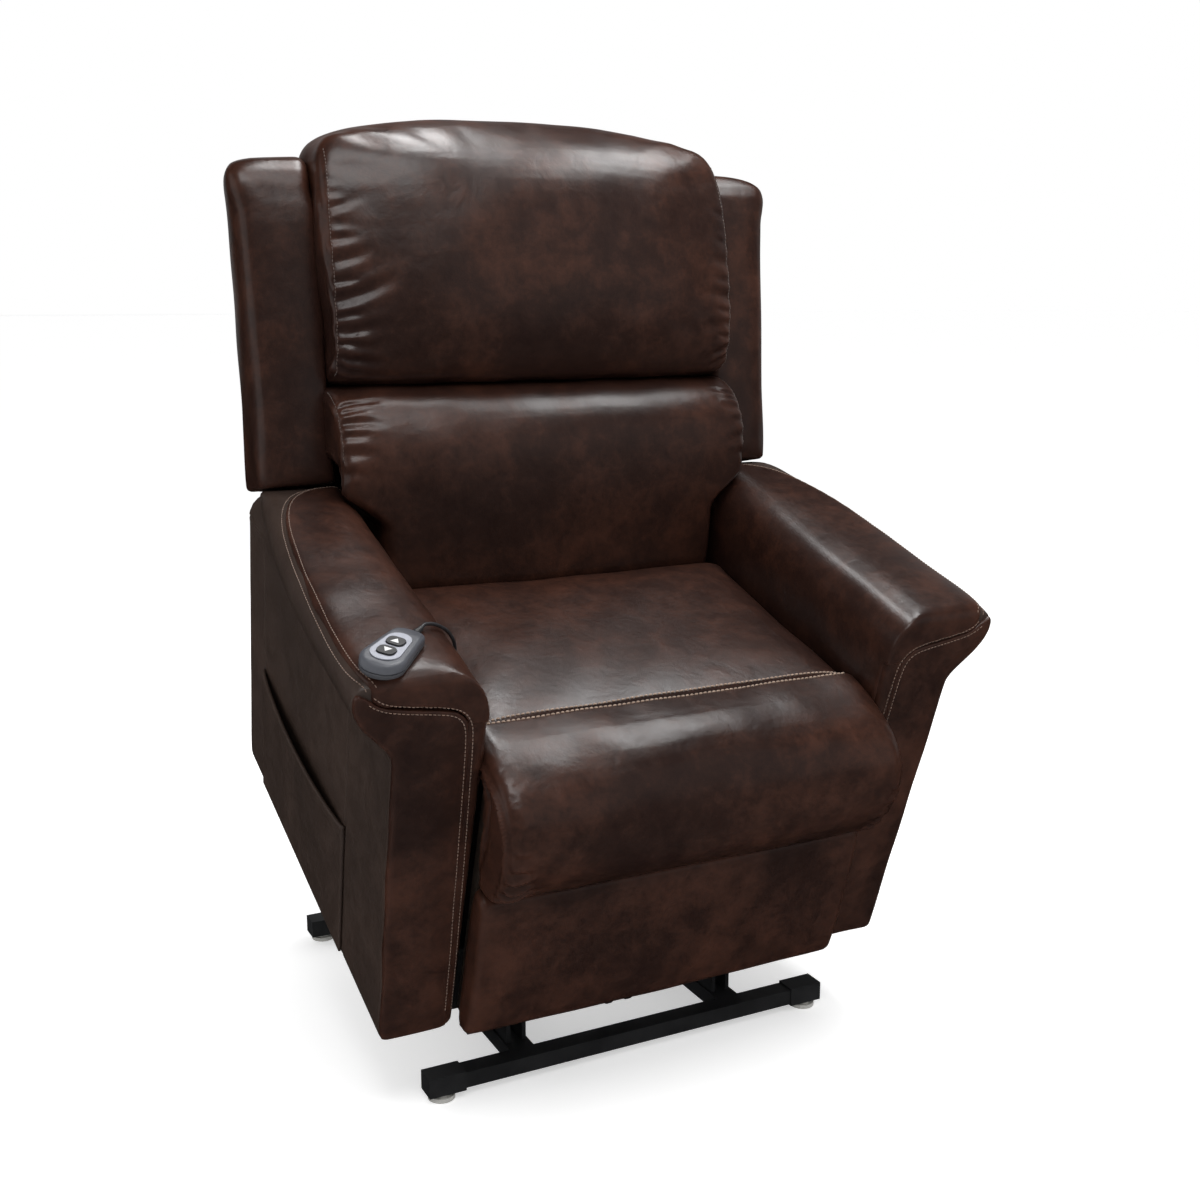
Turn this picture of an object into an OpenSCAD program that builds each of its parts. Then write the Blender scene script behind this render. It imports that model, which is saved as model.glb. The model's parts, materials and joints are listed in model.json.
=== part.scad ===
// Lift recliner chair, modelled part-lifted: a steel floor base, a pair of lift
// arms with guide links and a linear actuator, the upholstered chair body on its
// side plates, a reclining back, a folding footrest and a corded handset.
// Millimetres, +Z up, chair faces -Y. Origin on the floor below the middle of
// the whole chair.

/* [Body] */
// outside width of the chair across the arms at the floor end
body_width = 800; // [740:2:860]
// outward flare of each arm top beyond the arm side
arm_flare = 64; // [40:1:90]
// half distance between the two inner arm faces
arm_inner = 296; // [260:1:330]
// arm length from front to back
arm_depth = 689; // [640:1:740]
// height of the arm top above the arm bottom
arm_height = 566; // [520:1:600]
// height of the neck below the arm roll
arm_neck = 449; // [420:1:470]
// top of the seat cushion above the arm bottom
seat_top = 453; // [435:1:470]
// underside of the seat cushion
seat_under = 368; // [366:1:390]

/* [Back] */
// backward lean of the back against the arms
back_lean = 20.8; // [14:0.1:26]
// height of the back crown along the back
back_height = 748; // [690:1:800]
// half width of the head cushion
back_half = 326; // [300:1:330]
// height of the groove between the two back cushions
back_groove = 361; // [340:1:380]
// outer half width of the back wings
wing_outer = 436; // [420:1:450]

/* [Footrest] */
// half width of the footrest pads
foot_half = 292; // [270:1:293]
// how far the leg roll stands out in front of the arms
roll_front = 101; // [80:1:120]
// length of the swinging links
link_a_length = 170; // [150:1:180]

/* [Lift] */
// forward tilt of the chair body in the modelled position
lift_tilt = 17.5; // [10:0.5:27]
// depth position of the body's front lower edge
chair_y = -32; // [-60:1:20]
// height of the body's front lower edge
chair_z = 119; // [90:1:140]
// radius of the actuator horn
horn_r = 80; // [70:1:110]
// horn angle ahead of the lift arm
horn_lead = 55; // [45:1:65]

/* [Base] */
// half distance between the floor glides
glide_half = 299; // [280:1:320]
// distance between front and rear base bars
base_depth = 572; // [540:1:600]
// distance of the base rails from the middle
rail_x = 171; // [150:1:185]
// width of the base rails
rail_w = 37; // [30:1:40]

/* [Handset] */
// handset length
hs_l = 112; // [100:1:130]
// handset width
hs_w = 56; // [46:1:66]
// handset height without faceplate
hs_h = 20; // [18:1:30]

/* [Hidden] */
$fn = 48;

y_shift = -191.4;
arm_out = body_width/2;
tip_x = arm_out + arm_flare;
bar_yf = 2;
bar_yr = bar_yf + base_depth;
// lift pivots: A on the base, C on the body; B on the base, D on the body
a_y = 60;   a_z = 75;
c_y = 414;  c_z = 70;
b_y = 100;  b_z = 66;
d_y = 510;  d_z = 37.5;
cw_y = chair_y + cos(lift_tilt)*c_y - sin(lift_tilt)*c_z;
cw_z = chair_z + sin(lift_tilt)*c_y + cos(lift_tilt)*c_z;
dw_y = chair_y + cos(lift_tilt)*d_y - sin(lift_tilt)*d_z;
dw_z = chair_z + sin(lift_tilt)*d_y + cos(lift_tilt)*d_z;
arm_len = norm([cw_y - a_y, cw_z - a_z]);
arm_ang = atan2(cw_z - a_z, cw_y - a_y);
guide_len = norm([dw_y - b_y, dw_z - b_z]);
guide_ang = atan2(dw_z - b_z, dw_y - b_y);
// actuator between the rear clevis and the horn tip
e_y = 556;  e_z = 90;
f_y = a_y + horn_r*cos(arm_ang + horn_lead);
f_z = a_z + horn_r*sin(arm_ang + horn_lead);
act_len = norm([f_y - e_y, f_z - e_z]);
act_pitch = -atan2(f_z - e_z, e_y - f_y);
// back pivot on the body
h_y = 640;  h_z = 290;
// footrest pivots on the body: P fixed, M between the links, Q on the footrest
p_y = 95;   p_z = 300;
q_y = 35;   q_z = 300;
link_a_ang = -75;
m_y = p_y + link_a_length*cos(link_a_ang);
m_z = p_z + link_a_length*sin(link_a_ang);
link_c_length = norm([q_y - m_y, q_z - m_z]);
link_c_ang = atan2(q_z - m_z, q_y - m_y);
// handset place on the left arm
hs_x = -404; hs_y = 43; hs_z = arm_height + 0.3; hs_turn = 45;
// side face of an arm at a height
function side_x(z) = arm_out - 4 + 12*(z - 6)/(arm_neck - 7);

leather = [0.24, 0.13, 0.09];
leather2 = [0.17, 0.10, 0.08];
steel = [0.08, 0.08, 0.09];
bright = [0.62, 0.63, 0.65];
wood = [0.66, 0.52, 0.36];
plastic = [0.13, 0.13, 0.14];
grey = [0.45, 0.45, 0.47];

// ---- placing -----------------------------------------------------------
module floor_frame() { translate([0, y_shift, 0]) children(); }
module body_frame() { translate([0, y_shift + chair_y, chair_z]) rotate([lift_tilt, 0, 0]) children(); }
module back_pose() { body_frame() translate([0, h_y, h_z]) rotate([-back_lean, 0, 0]) children(); }
module act_pose() { floor_frame() translate([0, e_y, e_z]) rotate([act_pitch, 0, 0]) children(); }
module hs_pose() { body_frame() translate([hs_x, hs_y, hs_z]) rotate([0, 0, hs_turn]) children(); }
// YZ outline carried along X, XZ outline carried along Y
module along_x(x0, x1) { translate([x0, 0, 0]) rotate([90, 0, 90]) linear_extrude(x1 - x0) children(); }
module along_y(y0, y1) { translate([0, y1, 0]) rotate([90, 0, 0]) linear_extrude(y1 - y0) children(); }
module along_z(z0, z1) { translate([0, 0, z0]) linear_extrude(z1 - z0) children(); }
module both() { children(); mirror([1, 0, 0]) children(); }

// ---- outlines ----------------------------------------------------------
module rr(x0, y0, x1, y1, r) {
  translate([x0 + r, y0]) square([x1 - x0 - 2*r, y1 - y0]);
  translate([x0, y0 + r]) square([x1 - x0, y1 - y0 - 2*r]);
  for (x = [x0 + r, x1 - r], y = [y0 + r, y1 - r]) translate([x, y]) circle(r);
}
module bar2(l, w) {
  translate([0, -w/2]) square([l, w]);
  circle(w/2);
  translate([l, 0]) circle(w/2);
}
module pin_x(x0, x1, y, z, r) { translate([x0, y, z]) rotate([0, 90, 0]) cylinder(h = x1 - x0, r = r); }
module blk(x0, x1, y0, y1, z0, z1) { translate([x0, y0, z0]) cube([x1 - x0, y1 - y0, z1 - z0]); }

// ---- floor base --------------------------------------------------------
module base_bar(yc) {
  difference() {
    blk(-318, 318, yc - 15, yc + 15, 12.5, 35.5);
    blk(-319, 319, yc - 13, yc + 13, 14.5, 33.5);
  }
}
module base_front_bar() { color(steel) floor_frame() base_bar(bar_yf); }
module base_rear_bar() { color(steel) floor_frame() base_bar(bar_yr); }
module base_rails() {
  color(steel) floor_frame() both() difference() {
    blk(rail_x - rail_w/2, rail_x + rail_w/2, bar_yf + 15, bar_yr - 15, 12.5, 35.5);
    blk(rail_x - rail_w/2 + 2, rail_x + rail_w/2 - 2, bar_yf + 14, bar_yr - 14, 14.5, 33.5);
  }
}
module base_end_sleeves() {
  color(plastic) floor_frame() both() for (yc = [bar_yf, bar_yr]) difference() {
    blk(268, 322, yc - 17, yc + 17, 10, 38);
    blk(267, 318, yc - 15, yc + 15, 12.5, 35.5);
  }
}
module base_glides() {
  color(bright) floor_frame() both() for (yc = [bar_yf, bar_yr]) translate([glide_half, yc, 0]) {
    cylinder(h = 6, r = 19);
    translate([0, 0, 6]) cylinder(h = 4, r = 13);
  }
}
module base_arm_brackets() {
  color(steel) floor_frame() both() for (x = [rail_x - 15, rail_x + 9]) along_x(x, x + 6) difference() {
    union() { translate([36, 35.5]) square([43, a_z - 35.5]); translate([a_y, a_z]) circle(24); }
    translate([a_y, a_z]) circle(18.4);
  }
}
module base_guide_brackets() {
  color(steel) floor_frame() both() {
    blk(rail_x - rail_w/2, 227, b_y - 16, b_y + 16, 35.5, 41.5);
    along_x(221, 227) { translate([b_y - 16, 41.5]) square([32, b_z - 41.5]); translate([b_y, b_z]) circle(16); }
    pin_x(214, 221, b_y, b_z, 6);
  }
}
module base_actuator_clevis() {
  color(steel) floor_frame() {
    blk(-34, 34, bar_yr - 34, bar_yr + 15, 35.5, 41.5);
    both() along_x(14, 20) { translate([bar_yr - 34, 41.5]) square([34, e_z - 41.5]); translate([e_y, e_z]) circle(16); }
    pin_x(-24, 24, e_y, e_z, 6);
  }
}

// ---- lift linkage ------------------------------------------------------
module lift_arms() {
  color(steel) floor_frame() translate([0, a_y, a_z]) rotate([arm_ang, 0, 0]) both() along_x(204, 212) difference() {
    bar2(arm_len, 40);
    translate([arm_len, 0]) circle(7.4);
  }
}
module torque_tube() {
  color(steel) floor_frame() difference() {
    pin_x(-204, 204, a_y, a_z, 18);
    pin_x(-205, 205, a_y, a_z, 15);
  }
}
module lift_horn() {
  color(steel) floor_frame() translate([0, a_y, a_z]) rotate([arm_ang + horn_lead, 0, 0]) {
    both() along_x(13, 19) difference() {
      union() { circle(26); translate([0, -15]) square([horn_r, 30]); translate([horn_r, 0]) circle(15); }
      circle(18);
    }
    pin_x(-13, 13, horn_r, 0, 6);
  }
}
module guide_links() {
  color(steel) floor_frame() translate([0, b_y, b_z]) rotate([guide_ang, 0, 0]) both() along_x(214.5, 219.5) difference() {
    bar2(guide_len, 28);
    circle(6.4);
    translate([guide_len, 0]) circle(7.8);
  }
}

// ---- actuator ----------------------------------------------------------
module actuator_housing() {
  color(plastic) act_pose() difference() {
    union() {
      pin_x(-12, 12, 0, 0, 15);
      blk(-12, 12, -26, 0, -15, 15);
      intersection() {
        along_x(-30, 30) rr(-112, -34, -24, 92, 10);
        along_y(-112, -24) rr(-30, -34, 30, 92, 16);
      }
      translate([0, -112, 58]) rotate([90, 0, 0]) cylinder(h = 70, r = 27);
      translate([0, -182, 58]) rotate([90, 0, 0]) cylinder(h = 8, r = 20);
    }
    pin_x(-13, 13, 0, 0, 6.4);
  }
}
module actuator_tube() {
  color(bright) act_pose() difference() {
    translate([0, -112, 0]) rotate([90, 0, 0]) cylinder(h = 258, r = 20);
    translate([0, -116, 0]) rotate([90, 0, 0]) cylinder(h = 260, r = 12);
  }
}
module actuator_rod() {
  color(bright) act_pose() {
    translate([0, -200, 0]) rotate([90, 0, 0]) cylinder(h = act_len - 220, r = 11);
    along_x(-9, 9) difference() {
      rr(-act_len - 20, -32, -act_len + 20, 22, 14);
      translate([-act_len, 0]) rotate(-90) translate([-6, 0]) bar2(24, 15);
    }
  }
}

// ---- chair body frame --------------------------------------------------
module chair_side_plates() {
  color(steel) body_frame() both() along_x(222, 228) polygon([[72, 328], [72, 282], [84, 276], [128, 276],
      [340, 48], [392, 36], [500, 14], [540, 20], [600, 60], [664, 262], [664, 300], [650, 314],
      [628, 314], [612, 300], [540, 130], [430, 120], [380, 128], [160, 328]]);
}
module chair_cross_tubes() {
  color(steel) body_frame() for (p = [[138, 300], [606, 200]]) difference() {
    pin_x(-222, 222, p[0], p[1], 12.5);
    pin_x(-223, 223, p[0], p[1], 10.5);
  }
}
module chair_pivot_pins() {
  color(bright) body_frame() both() {
    pin_x(203.5, 222, c_y, c_z, 7);
    pin_x(198.5, 203.5, c_y, c_z, 12);
    pin_x(214, 222, d_y, d_z, 5);
    pin_x(228, 235.5, p_y, p_z, 7);
    pin_x(235.5, 240, p_y, p_z, 11);
    pin_x(228, 236.5, h_y, h_z, 8);
    pin_x(236.5, 241, h_y, h_z, 13);
  }
}
module seat_rails() {
  color(wood) body_frame() {
    blk(-arm_inner, arm_inner, 66, 96, 328, 360);
    blk(-arm_inner, arm_inner, 366, 394, 328, 360);
    both() blk(222, 250, 96.2, 365.8, 328, 360);
  }
}
module seat_deck() { color(wood) body_frame() blk(-280, 280, 66, 394, 360, seat_under); }
module seat_cushion() {
  t = seat_top;
  color(leather) body_frame() intersection() {
    along_x(-285, 285) polygon([[63, seat_under], [63, t - 26], [72, t - 10], [96, t - 1], [240, t + 3], [396, t + 2],
        [414, t - 2], [423, t - 10], [423, t - 30], [402, seat_under]]);
    along_y(60, 440) polygon([[-284, seat_under], [-284, t - 34], [-272, t - 14], [-236, t - 2], [-120, t + 3], [120, t + 3],
        [236, t - 2], [272, t - 14], [284, t - 34], [284, seat_under]]);
  }
}

// ---- arms (drawn for +X, mirrored for the other side) -------------------
module arm_outer() {
  along_y(22.5, 668) polygon([[side_x(6) - 18, 6], [side_x(6), 6], [side_x(arm_neck - 1), arm_neck - 1], [side_x(arm_neck - 1) - 18, arm_neck - 1]]);
}
module arm_inner_wall() { blk(arm_inner, arm_inner + 16, 22.5, 668, 10, 468); }
module arm_outline() {
  polygon([[arm_inner + 8, 24], [arm_inner + 14, 10], [arm_inner + 26, 4], [arm_out - 12, 4], [arm_out, 14],
      [arm_out + 11, arm_neck], [arm_out + 30, arm_neck + 25], [tip_x - 8, arm_neck + 48], [tip_x - 26, arm_height - 50],
      [tip_x - 26, arm_height - 24], [arm_inner + 70, arm_height - 49], [arm_inner + 28, arm_height - 65], [arm_inner + 8, arm_height - 84]]);
  translate([tip_x - 26, arm_height - 50]) circle(26);
}
module arm_front() { along_y(0, 22.5) arm_outline(); }
module arm_rear() {
  along_y(668, arm_depth) polygon([[arm_inner + 4, 6], [side_x(6), 6], [side_x(arm_neck), arm_neck], [side_x(arm_neck), 470], [side_x(arm_neck) - 10, 480],
      [arm_inner + 14, 480], [arm_inner + 4, 470]]);
}
module arm_top() {
  intersection() {
    along_y(22.5, 668) {
      polygon([[arm_inner - 4, 468], [arm_inner - 4, arm_height - 60], [arm_inner, arm_height - 42], [arm_inner + 10, arm_height - 24], [arm_inner + 26, arm_height - 10], [arm_inner + 50, arm_height - 2],
          [arm_inner + 76, arm_height], [tip_x - 40, arm_height], [tip_x - 20, arm_height - 20], [tip_x - 20, 468]]);
      translate([tip_x - 30, arm_height - 32]) circle(32);
      polygon([[arm_out - 16, arm_neck - 1], [side_x(arm_neck - 1), arm_neck - 1], [arm_out + 30, arm_neck + 26], [tip_x - 6, arm_neck + 58], [tip_x - 30, arm_neck + 85], [arm_out - 16, arm_neck + 85]]);
    }
    along_x(arm_inner - 20, tip_x + 10) polygon([[22.5, 440], [22.5, arm_height - 26], [32, arm_height - 15], [52, arm_height - 5], [84, arm_height], [330, arm_height], [470, arm_height - 4], [530, arm_height - 10],
        [575, arm_height - 30], [615, arm_height - 58], [645, arm_height - 78], [668, arm_height - 86], [668, 440]]);
    along_z(430, 600) polygon([[arm_inner - 20, 20], [tip_x + 4, 20], [tip_x + 4, 160], [tip_x + 1, 260], [tip_x - 8, 370], [tip_x - 25, 507], [tip_x - 36, 560], [arm_out + 10, 610], [arm_out + 8, 670], [arm_inner - 20, 670]]);
  }
}
module arm_right_outer() { color(leather2) body_frame() arm_outer(); }
module arm_right_inner() { color(leather) body_frame() arm_inner_wall(); }
module arm_right_front() { color(leather) body_frame() arm_front(); }
module arm_right_rear() { color(leather2) body_frame() arm_rear(); }
module arm_right_top() { color(leather) body_frame() arm_top(); }
module arm_left_outer() { color(leather2) body_frame() mirror([1, 0, 0]) arm_outer(); }
module arm_left_inner() { color(leather) body_frame() mirror([1, 0, 0]) arm_inner_wall(); }
module arm_left_front() { color(leather) body_frame() mirror([1, 0, 0]) arm_front(); }
module arm_left_rear() { color(leather2) body_frame() mirror([1, 0, 0]) arm_rear(); }
module arm_left_top() { color(leather) body_frame() mirror([1, 0, 0]) arm_top(); }
module side_pocket() {
  z0 = 14; z1 = 232; g = 13; t = 4;
  color(leather2) body_frame() mirror([1, 0, 0]) difference() {
    along_y(170, 590) polygon([[side_x(z0), z0], [side_x(z0) + g + t, z0], [side_x(z1) + g + t, z1], [side_x(z1), z1]]);
    along_y(182, 578) polygon([[side_x(z0 + 10) - 1, z0 + 10], [side_x(z0 + 10) + g, z0 + 10], [side_x(z1 + 5) + g, z1 + 5], [side_x(z1 + 5) - 1, z1 + 5]]);
  }
}
module rear_skirt() { color(leather2) body_frame() blk(-arm_inner - 4, arm_inner + 4, 674, 689, 14, 252); }
module control_box() { color(plastic) body_frame() blk(110, 200, 630, 674, 60, 130); }
module power_inlet() {
  color(plastic) body_frame() difference() {
    blk(130, 180, 689, 693, 70, 102);
    blk(140, 170, 690.5, 694, 76, 96);
  }
}

// ---- back --------------------------------------------------------------
// local frame: +Z up along the back, -Y out of its front, pivot at the origin
module back_frame() {
  color(wood) back_pose() along_y(-62, -42)
    polygon([[-270, 14], [270, 14], [270, 210], [400, 232], [400, 600], [300, 640], [-300, 640], [-400, 600], [-400, 232], [-270, 210]]);
}
module back_head_cushion() {
  h = back_height; g = back_groove;
  color(leather) back_pose() intersection() {
    along_x(-back_half, back_half) polygon([[-234, g + 3], [-252, g + 24], [-262, g + 90], [-256, h - 190], [-236, h - 100], [-206, h - 44], [-168, h - 12], [-130, h],
        [-96, h - 6], [-68, h - 30], [-62, h - 60], [-62, g + 3]]);
    along_y(-280, -50) polygon(concat([[-back_half, g + 3]], [for (i = [-6:6]) [i*back_half/6, h - 62*pow(i/6, 2)]], [[back_half, g + 3]]));
  }
}
module back_lumbar_cushion() {
  g = back_groove; w = back_half + 9;
  color(leather) back_pose() intersection() {
    along_x(-w, w) polygon([[-240, g - 3], [-264, g - 22], [-280, g - 90], [-278, g - 180], [-262, 96], [-247, 48], [-232, 34], [-62, 34], [-62, g - 3]]);
    along_y(-290, -50) polygon([[-276, 30], [276, 30], [276, 226], [w - 12, 246], [w, 268], [w, 310], [w - 7, g], [7 - w, g], [-w, 310], [-w, 268], [12 - w, 246], [-276, 226]]);
  }
}
module back_wing() {
  difference() {
    intersection() {
      along_x(back_half + 11, wing_outer + 1) polygon([[-170, 218], [-182, 230], [-184, 300], [-180, 440], [-172, 600], [-156, 660], [-128, 686], [-80, 690], [-42, 672], [-42, 200]]);
      along_y(-190, -40) polygon([[back_half + 11, 198], [wing_outer - 18, 198], [wing_outer - 10, 212], [wing_outer - 4, 412], [wing_outer, 590], [wing_outer - 5, 632], [wing_outer - 18, 660], [wing_outer - 44, 684], [back_half + 11, 692]]);
      along_z(190, 700) polygon([[back_half + 10, -190], [wing_outer - 10, -190], [wing_outer, -178], [wing_outer - 1, -138], [wing_outer - 23, -42], [back_half + 10, -42]]);
    }
    blk(300, 401, -62, -40, 200, 700);
  }
}
module back_wing_right() { color(leather) back_pose() back_wing(); }
module back_wing_left() { color(leather) back_pose() mirror([1, 0, 0]) back_wing(); }
module back_outer_panel() {
  color(leather2) back_pose() along_y(0, 15) {
    polygon([[-396, 236], [-388, 222], [388, 222], [396, 236], [400, 590], [392, 630], [364, 655], [300, 686], [120, 712],
      [-120, 712], [-300, 686], [-364, 655], [-392, 630], [-400, 590]]);
    translate([-284, 32]) square([568, 200]);
  }
}
module back_side_walls() {
  color(leather2) back_pose() {
    both() intersection() {
      along_y(-42, 0) polygon([[400, 234], [414, 238], [416, 590], [408, 632], [380, 656], [300.5, 690], [300.5, 662], [372, 632], [400, 600]]);
      along_z(200, 720) polygon([[300, -42], [wing_outer - 23, -42], [wing_outer - 34, 0], [300, 0]]);
    }
    along_y(-62, 0) polygon([[-299.5, 641], [299.5, 641], [299.5, 684], [120, 706], [-120, 706], [-299.5, 684]]);
  }
}
module back_hinge_plates() {
  color(steel) back_pose() both() along_x(229.5, 235.5) difference() {
    polygon([[-42, 16], [-14, -18], [14, -18], [18, 0], [13, 20], [-2, 31], [-8, 190], [-42, 190]]);
    circle(8.4);
  }
}

// ---- footrest ----------------------------------------------------------
module footrest_links_a() {
  color(steel) body_frame() translate([0, p_y, p_z]) rotate([link_a_ang, 0, 0]) both() {
    along_x(229, 235) difference() { bar2(link_a_length, 26); circle(7.4); }
    pin_x(235, 242.6, link_a_length, 0, 7);
    pin_x(242.6, 246, link_a_length, 0, 10);
  }
}
module footrest_bridge_board() {
  color(wood) body_frame() translate([0, p_y, p_z]) rotate([link_a_ang, 0, 0]) blk(-229, 229, 50, 138, -21, -10);
}
module footrest_bridge_pad() {
  color(leather) body_frame() translate([0, p_y, p_z]) rotate([link_a_ang, 0, 0]) intersection() {
    along_x(-212, 212) polygon([[50, -21], [50, -30], [56, -36], [68, -39], [122, -39], [132, -36], [138, -30], [138, -21]]);
    along_y(49, 139) polygon([[-212, -21], [-212, -30], [-204, -36], [-190, -40], [190, -40], [204, -36], [212, -30], [212, -21]]);
  }
}
module footrest_links_c() {
  color(steel) body_frame() translate([0, m_y, m_z]) rotate([link_c_ang, 0, 0]) both() along_x(236, 242) difference() {
    bar2(link_c_length, 26);
    circle(7.4);
    translate([link_c_length, 0]) circle(7.4);
  }
}
module footrest_board() { color(wood) body_frame() blk(-282, 282, 0, 18, 18, 398); }
module footrest_roll_pad() {
  r = roll_front;
  color(leather) body_frame() intersection() {
    along_x(-foot_half, foot_half) polygon([[0, 246], [-44, 246], [-72, 272], [-92, 312], [-r, 352], [4 - r, 386], [-76, 412], [-48, 428], [-16, 438], [22, 444],
        [46, 442], [55, 436], [57, 430], [57, 424], [40, 408], [18, 398], [0, 398]]);
    along_y(-120, 70) polygon([[-foot_half, 270], [10 - foot_half, 250], [36 - foot_half, 240], [foot_half - 36, 240], [foot_half - 10, 250], [foot_half, 270], [foot_half, 408], [foot_half - 12, 430], [foot_half - 44, 446],
        [44 - foot_half, 446], [12 - foot_half, 430], [-foot_half, 408]]);
  }
}
module footrest_lower_pad() {
  color(leather) body_frame() intersection() {
    along_x(-foot_half, foot_half) polygon([[0, 12], [-26, 12], [-38, 20], [-43, 40], [-44, 130], [-42, 226], [-36, 240], [-26, 245], [0, 245]]);
    along_y(-50, 1) rr(-foot_half, 12, foot_half, 245, 14);
  }
}
module footrest_brackets() {
  color(steel) body_frame() both() {
    along_x(243, 249) { translate([18, 276]) square([17, 48]); translate([q_y, q_z]) circle(16.5); translate([18, 290]) square([20, 20]); }
    blk(249, 268, 18, 22, 266, 334);
    pin_x(235.5, 243, q_y, q_z, 7);
    pin_x(231.5, 235.5, q_y, q_z, 10);
  }
}

// ---- handset -----------------------------------------------------------
module hs_outline(d) {
  hull() {
    translate([hs_w/2 - hs_l/2, 0]) circle(hs_w/2 - d);
    translate([hs_l/2 - 21, 0]) circle(21 - d);
  }
}
module hs_side() { polygon([[-hs_l/2, 0], [-hs_l/2, 9], [6 - hs_l/2, 14], [16 - hs_l/2, hs_h - 1.5], [26 - hs_l/2, hs_h], [hs_l/2 - 30, hs_h], [hs_l/2 - 10, hs_h - 4], [hs_l/2, hs_h - 9], [hs_l/2, 0]]); }
module button_hole(x, d) { translate([x, 0]) rr(-9 - d, -11 - d, 9 + d, 11 + d, 7); }
module handset_lower_shell() { color(plastic) hs_pose() { along_z(0, 3) hs_outline(5); along_z(3, 8) hs_outline(1); } }
module handset_upper_shell() {
  color(grey) hs_pose() difference() {
    intersection() {
      along_z(8, hs_h) hs_outline(0);
      along_y(-40, 40) hs_side();
    }
    along_z(hs_h - 8, hs_h + 1) { button_hole(-21, 0.6); button_hole(3, 0.6); }
  }
}
module handset_faceplate() {
  color(bright) hs_pose() along_z(hs_h, hs_h + 1.2) difference() {
    hull() { translate([-22, 0]) circle(18.5); translate([10, 0]) circle(15.5); }
    button_hole(-21, 0.6);
    button_hole(3, 0.6);
  }
}
module hs_button(x) { hs_pose() along_z(hs_h - 6, hs_h + 3.2) button_hole(x, 0); }
module button_up() { color(plastic) hs_button(-21); }
module button_down() { color(plastic) hs_button(3); }
module handset_strain_relief() { color(plastic) hs_pose() translate([hs_l/2, 0, 6]) rotate([0, 90, 0]) { cylinder(h = 6, r = 5); translate([0, 0, 6]) cylinder(h = 10, r = 3.6); } }

// ---- handset cord --------------------------------------------------------
// route in the body frame: leaves the handset, drops over the inner arm edge
// and runs down beside the seat cushion to its gland
cord_d = 4.6;
cord_end = [hs_x + (hs_l/2 + 16)*cos(hs_turn), hs_y + (hs_l/2 + 16)*sin(hs_turn), hs_z + 6];
cord_dir = [cos(hs_turn), sin(hs_turn), 0];
cord_pts = [cord_end, cord_end + 12*cord_dir, [-331, 110, 567], [-317, 118, 557], [-303.5, 124.5, 544], [-292.5, 129.5, 525], [-288.6, 132.5, 503], [-288.4, 134.5, 475], [-289.4, 134.5, 440], [-290, 134, 404]];
cord_n = len(cord_pts);
cord_steps = 6;
function cr(a, b, c, d, t) = 0.5*(2*b + (c - a)*t + (2*a - 5*b + 4*c - d)*t*t + (3*b - a - 3*c + d)*t*t*t);
function cpt(i) = i < 0 ? 2*cord_pts[0] - cord_pts[1] : i >= cord_n ? 2*cord_pts[cord_n - 1] - cord_pts[cord_n - 2] : cord_pts[i];
cord_path = concat([for (i = [0:cord_n - 2], j = [0:cord_steps - 1]) cr(cpt(i - 1), cpt(i), cpt(i + 1), cpt(i + 2), j/cord_steps)], [cord_pts[cord_n - 1]]);
cord_m = len(cord_path);
function unit(v) = v/norm(v);
function ctan(i) = i == 0 ? cord_dir : i == cord_m - 1 ? [0, 0, -1] : unit(cord_path[i + 1] - cord_path[i - 1]);
function cside(i) = unit(cross(ctan(i), [-0.3, 0.9, 0.1]));
function ring(i) = let (s = cside(i), u = cross(s, ctan(i))) [for (k = [0:7]) cord_path[i] + cord_d/2*(cos(45*k)*s + sin(45*k)*u)];
module handset_cord() {
  color(plastic) body_frame() polyhedron(
    points = [for (i = [0:cord_m - 1]) each ring(i)],
    faces = concat([[for (k = [0:7]) k]], [[for (k = [7:-1:0]) (cord_m - 1)*8 + k]],
      [for (i = [0:cord_m - 2], k = [0:7]) [i*8 + k, i*8 + 8 + k, i*8 + 8 + (k + 1)%8, i*8 + (k + 1)%8]]));
}
module cord_gland() { color(plastic) body_frame() blk(-296, -285.6, 128, 140, 388, 404); }

// ---- choice ------------------------------------------------------------
base_front_bar();
base_rear_bar();
base_rails();
base_end_sleeves();
base_glides();
base_arm_brackets();
base_guide_brackets();
base_actuator_clevis();
lift_arms();
torque_tube();
lift_horn();
guide_links();
actuator_housing();
actuator_tube();
actuator_rod();
chair_side_plates();
chair_cross_tubes();
chair_pivot_pins();
seat_rails();
seat_deck();
seat_cushion();
arm_left_outer();
arm_left_inner();
arm_left_front();
arm_left_rear();
arm_left_top();
arm_right_outer();
arm_right_inner();
arm_right_front();
arm_right_rear();
arm_right_top();
side_pocket();
rear_skirt();
control_box();
power_inlet();
back_frame();
back_head_cushion();
back_lumbar_cushion();
back_wing_left();
back_wing_right();
back_outer_panel();
back_side_walls();
back_hinge_plates();
footrest_links_a();
footrest_bridge_board();
footrest_bridge_pad();
footrest_links_c();
footrest_board();
footrest_roll_pad();
footrest_lower_pad();
footrest_brackets();
handset_lower_shell();
handset_upper_shell();
handset_faceplate();
button_up();
button_down();
handset_strain_relief();
handset_cord();
cord_gland();
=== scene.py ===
import json
import math
import bpy
import numpy as np
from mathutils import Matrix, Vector
from mathutils.bvhtree import BVHTree

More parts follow.
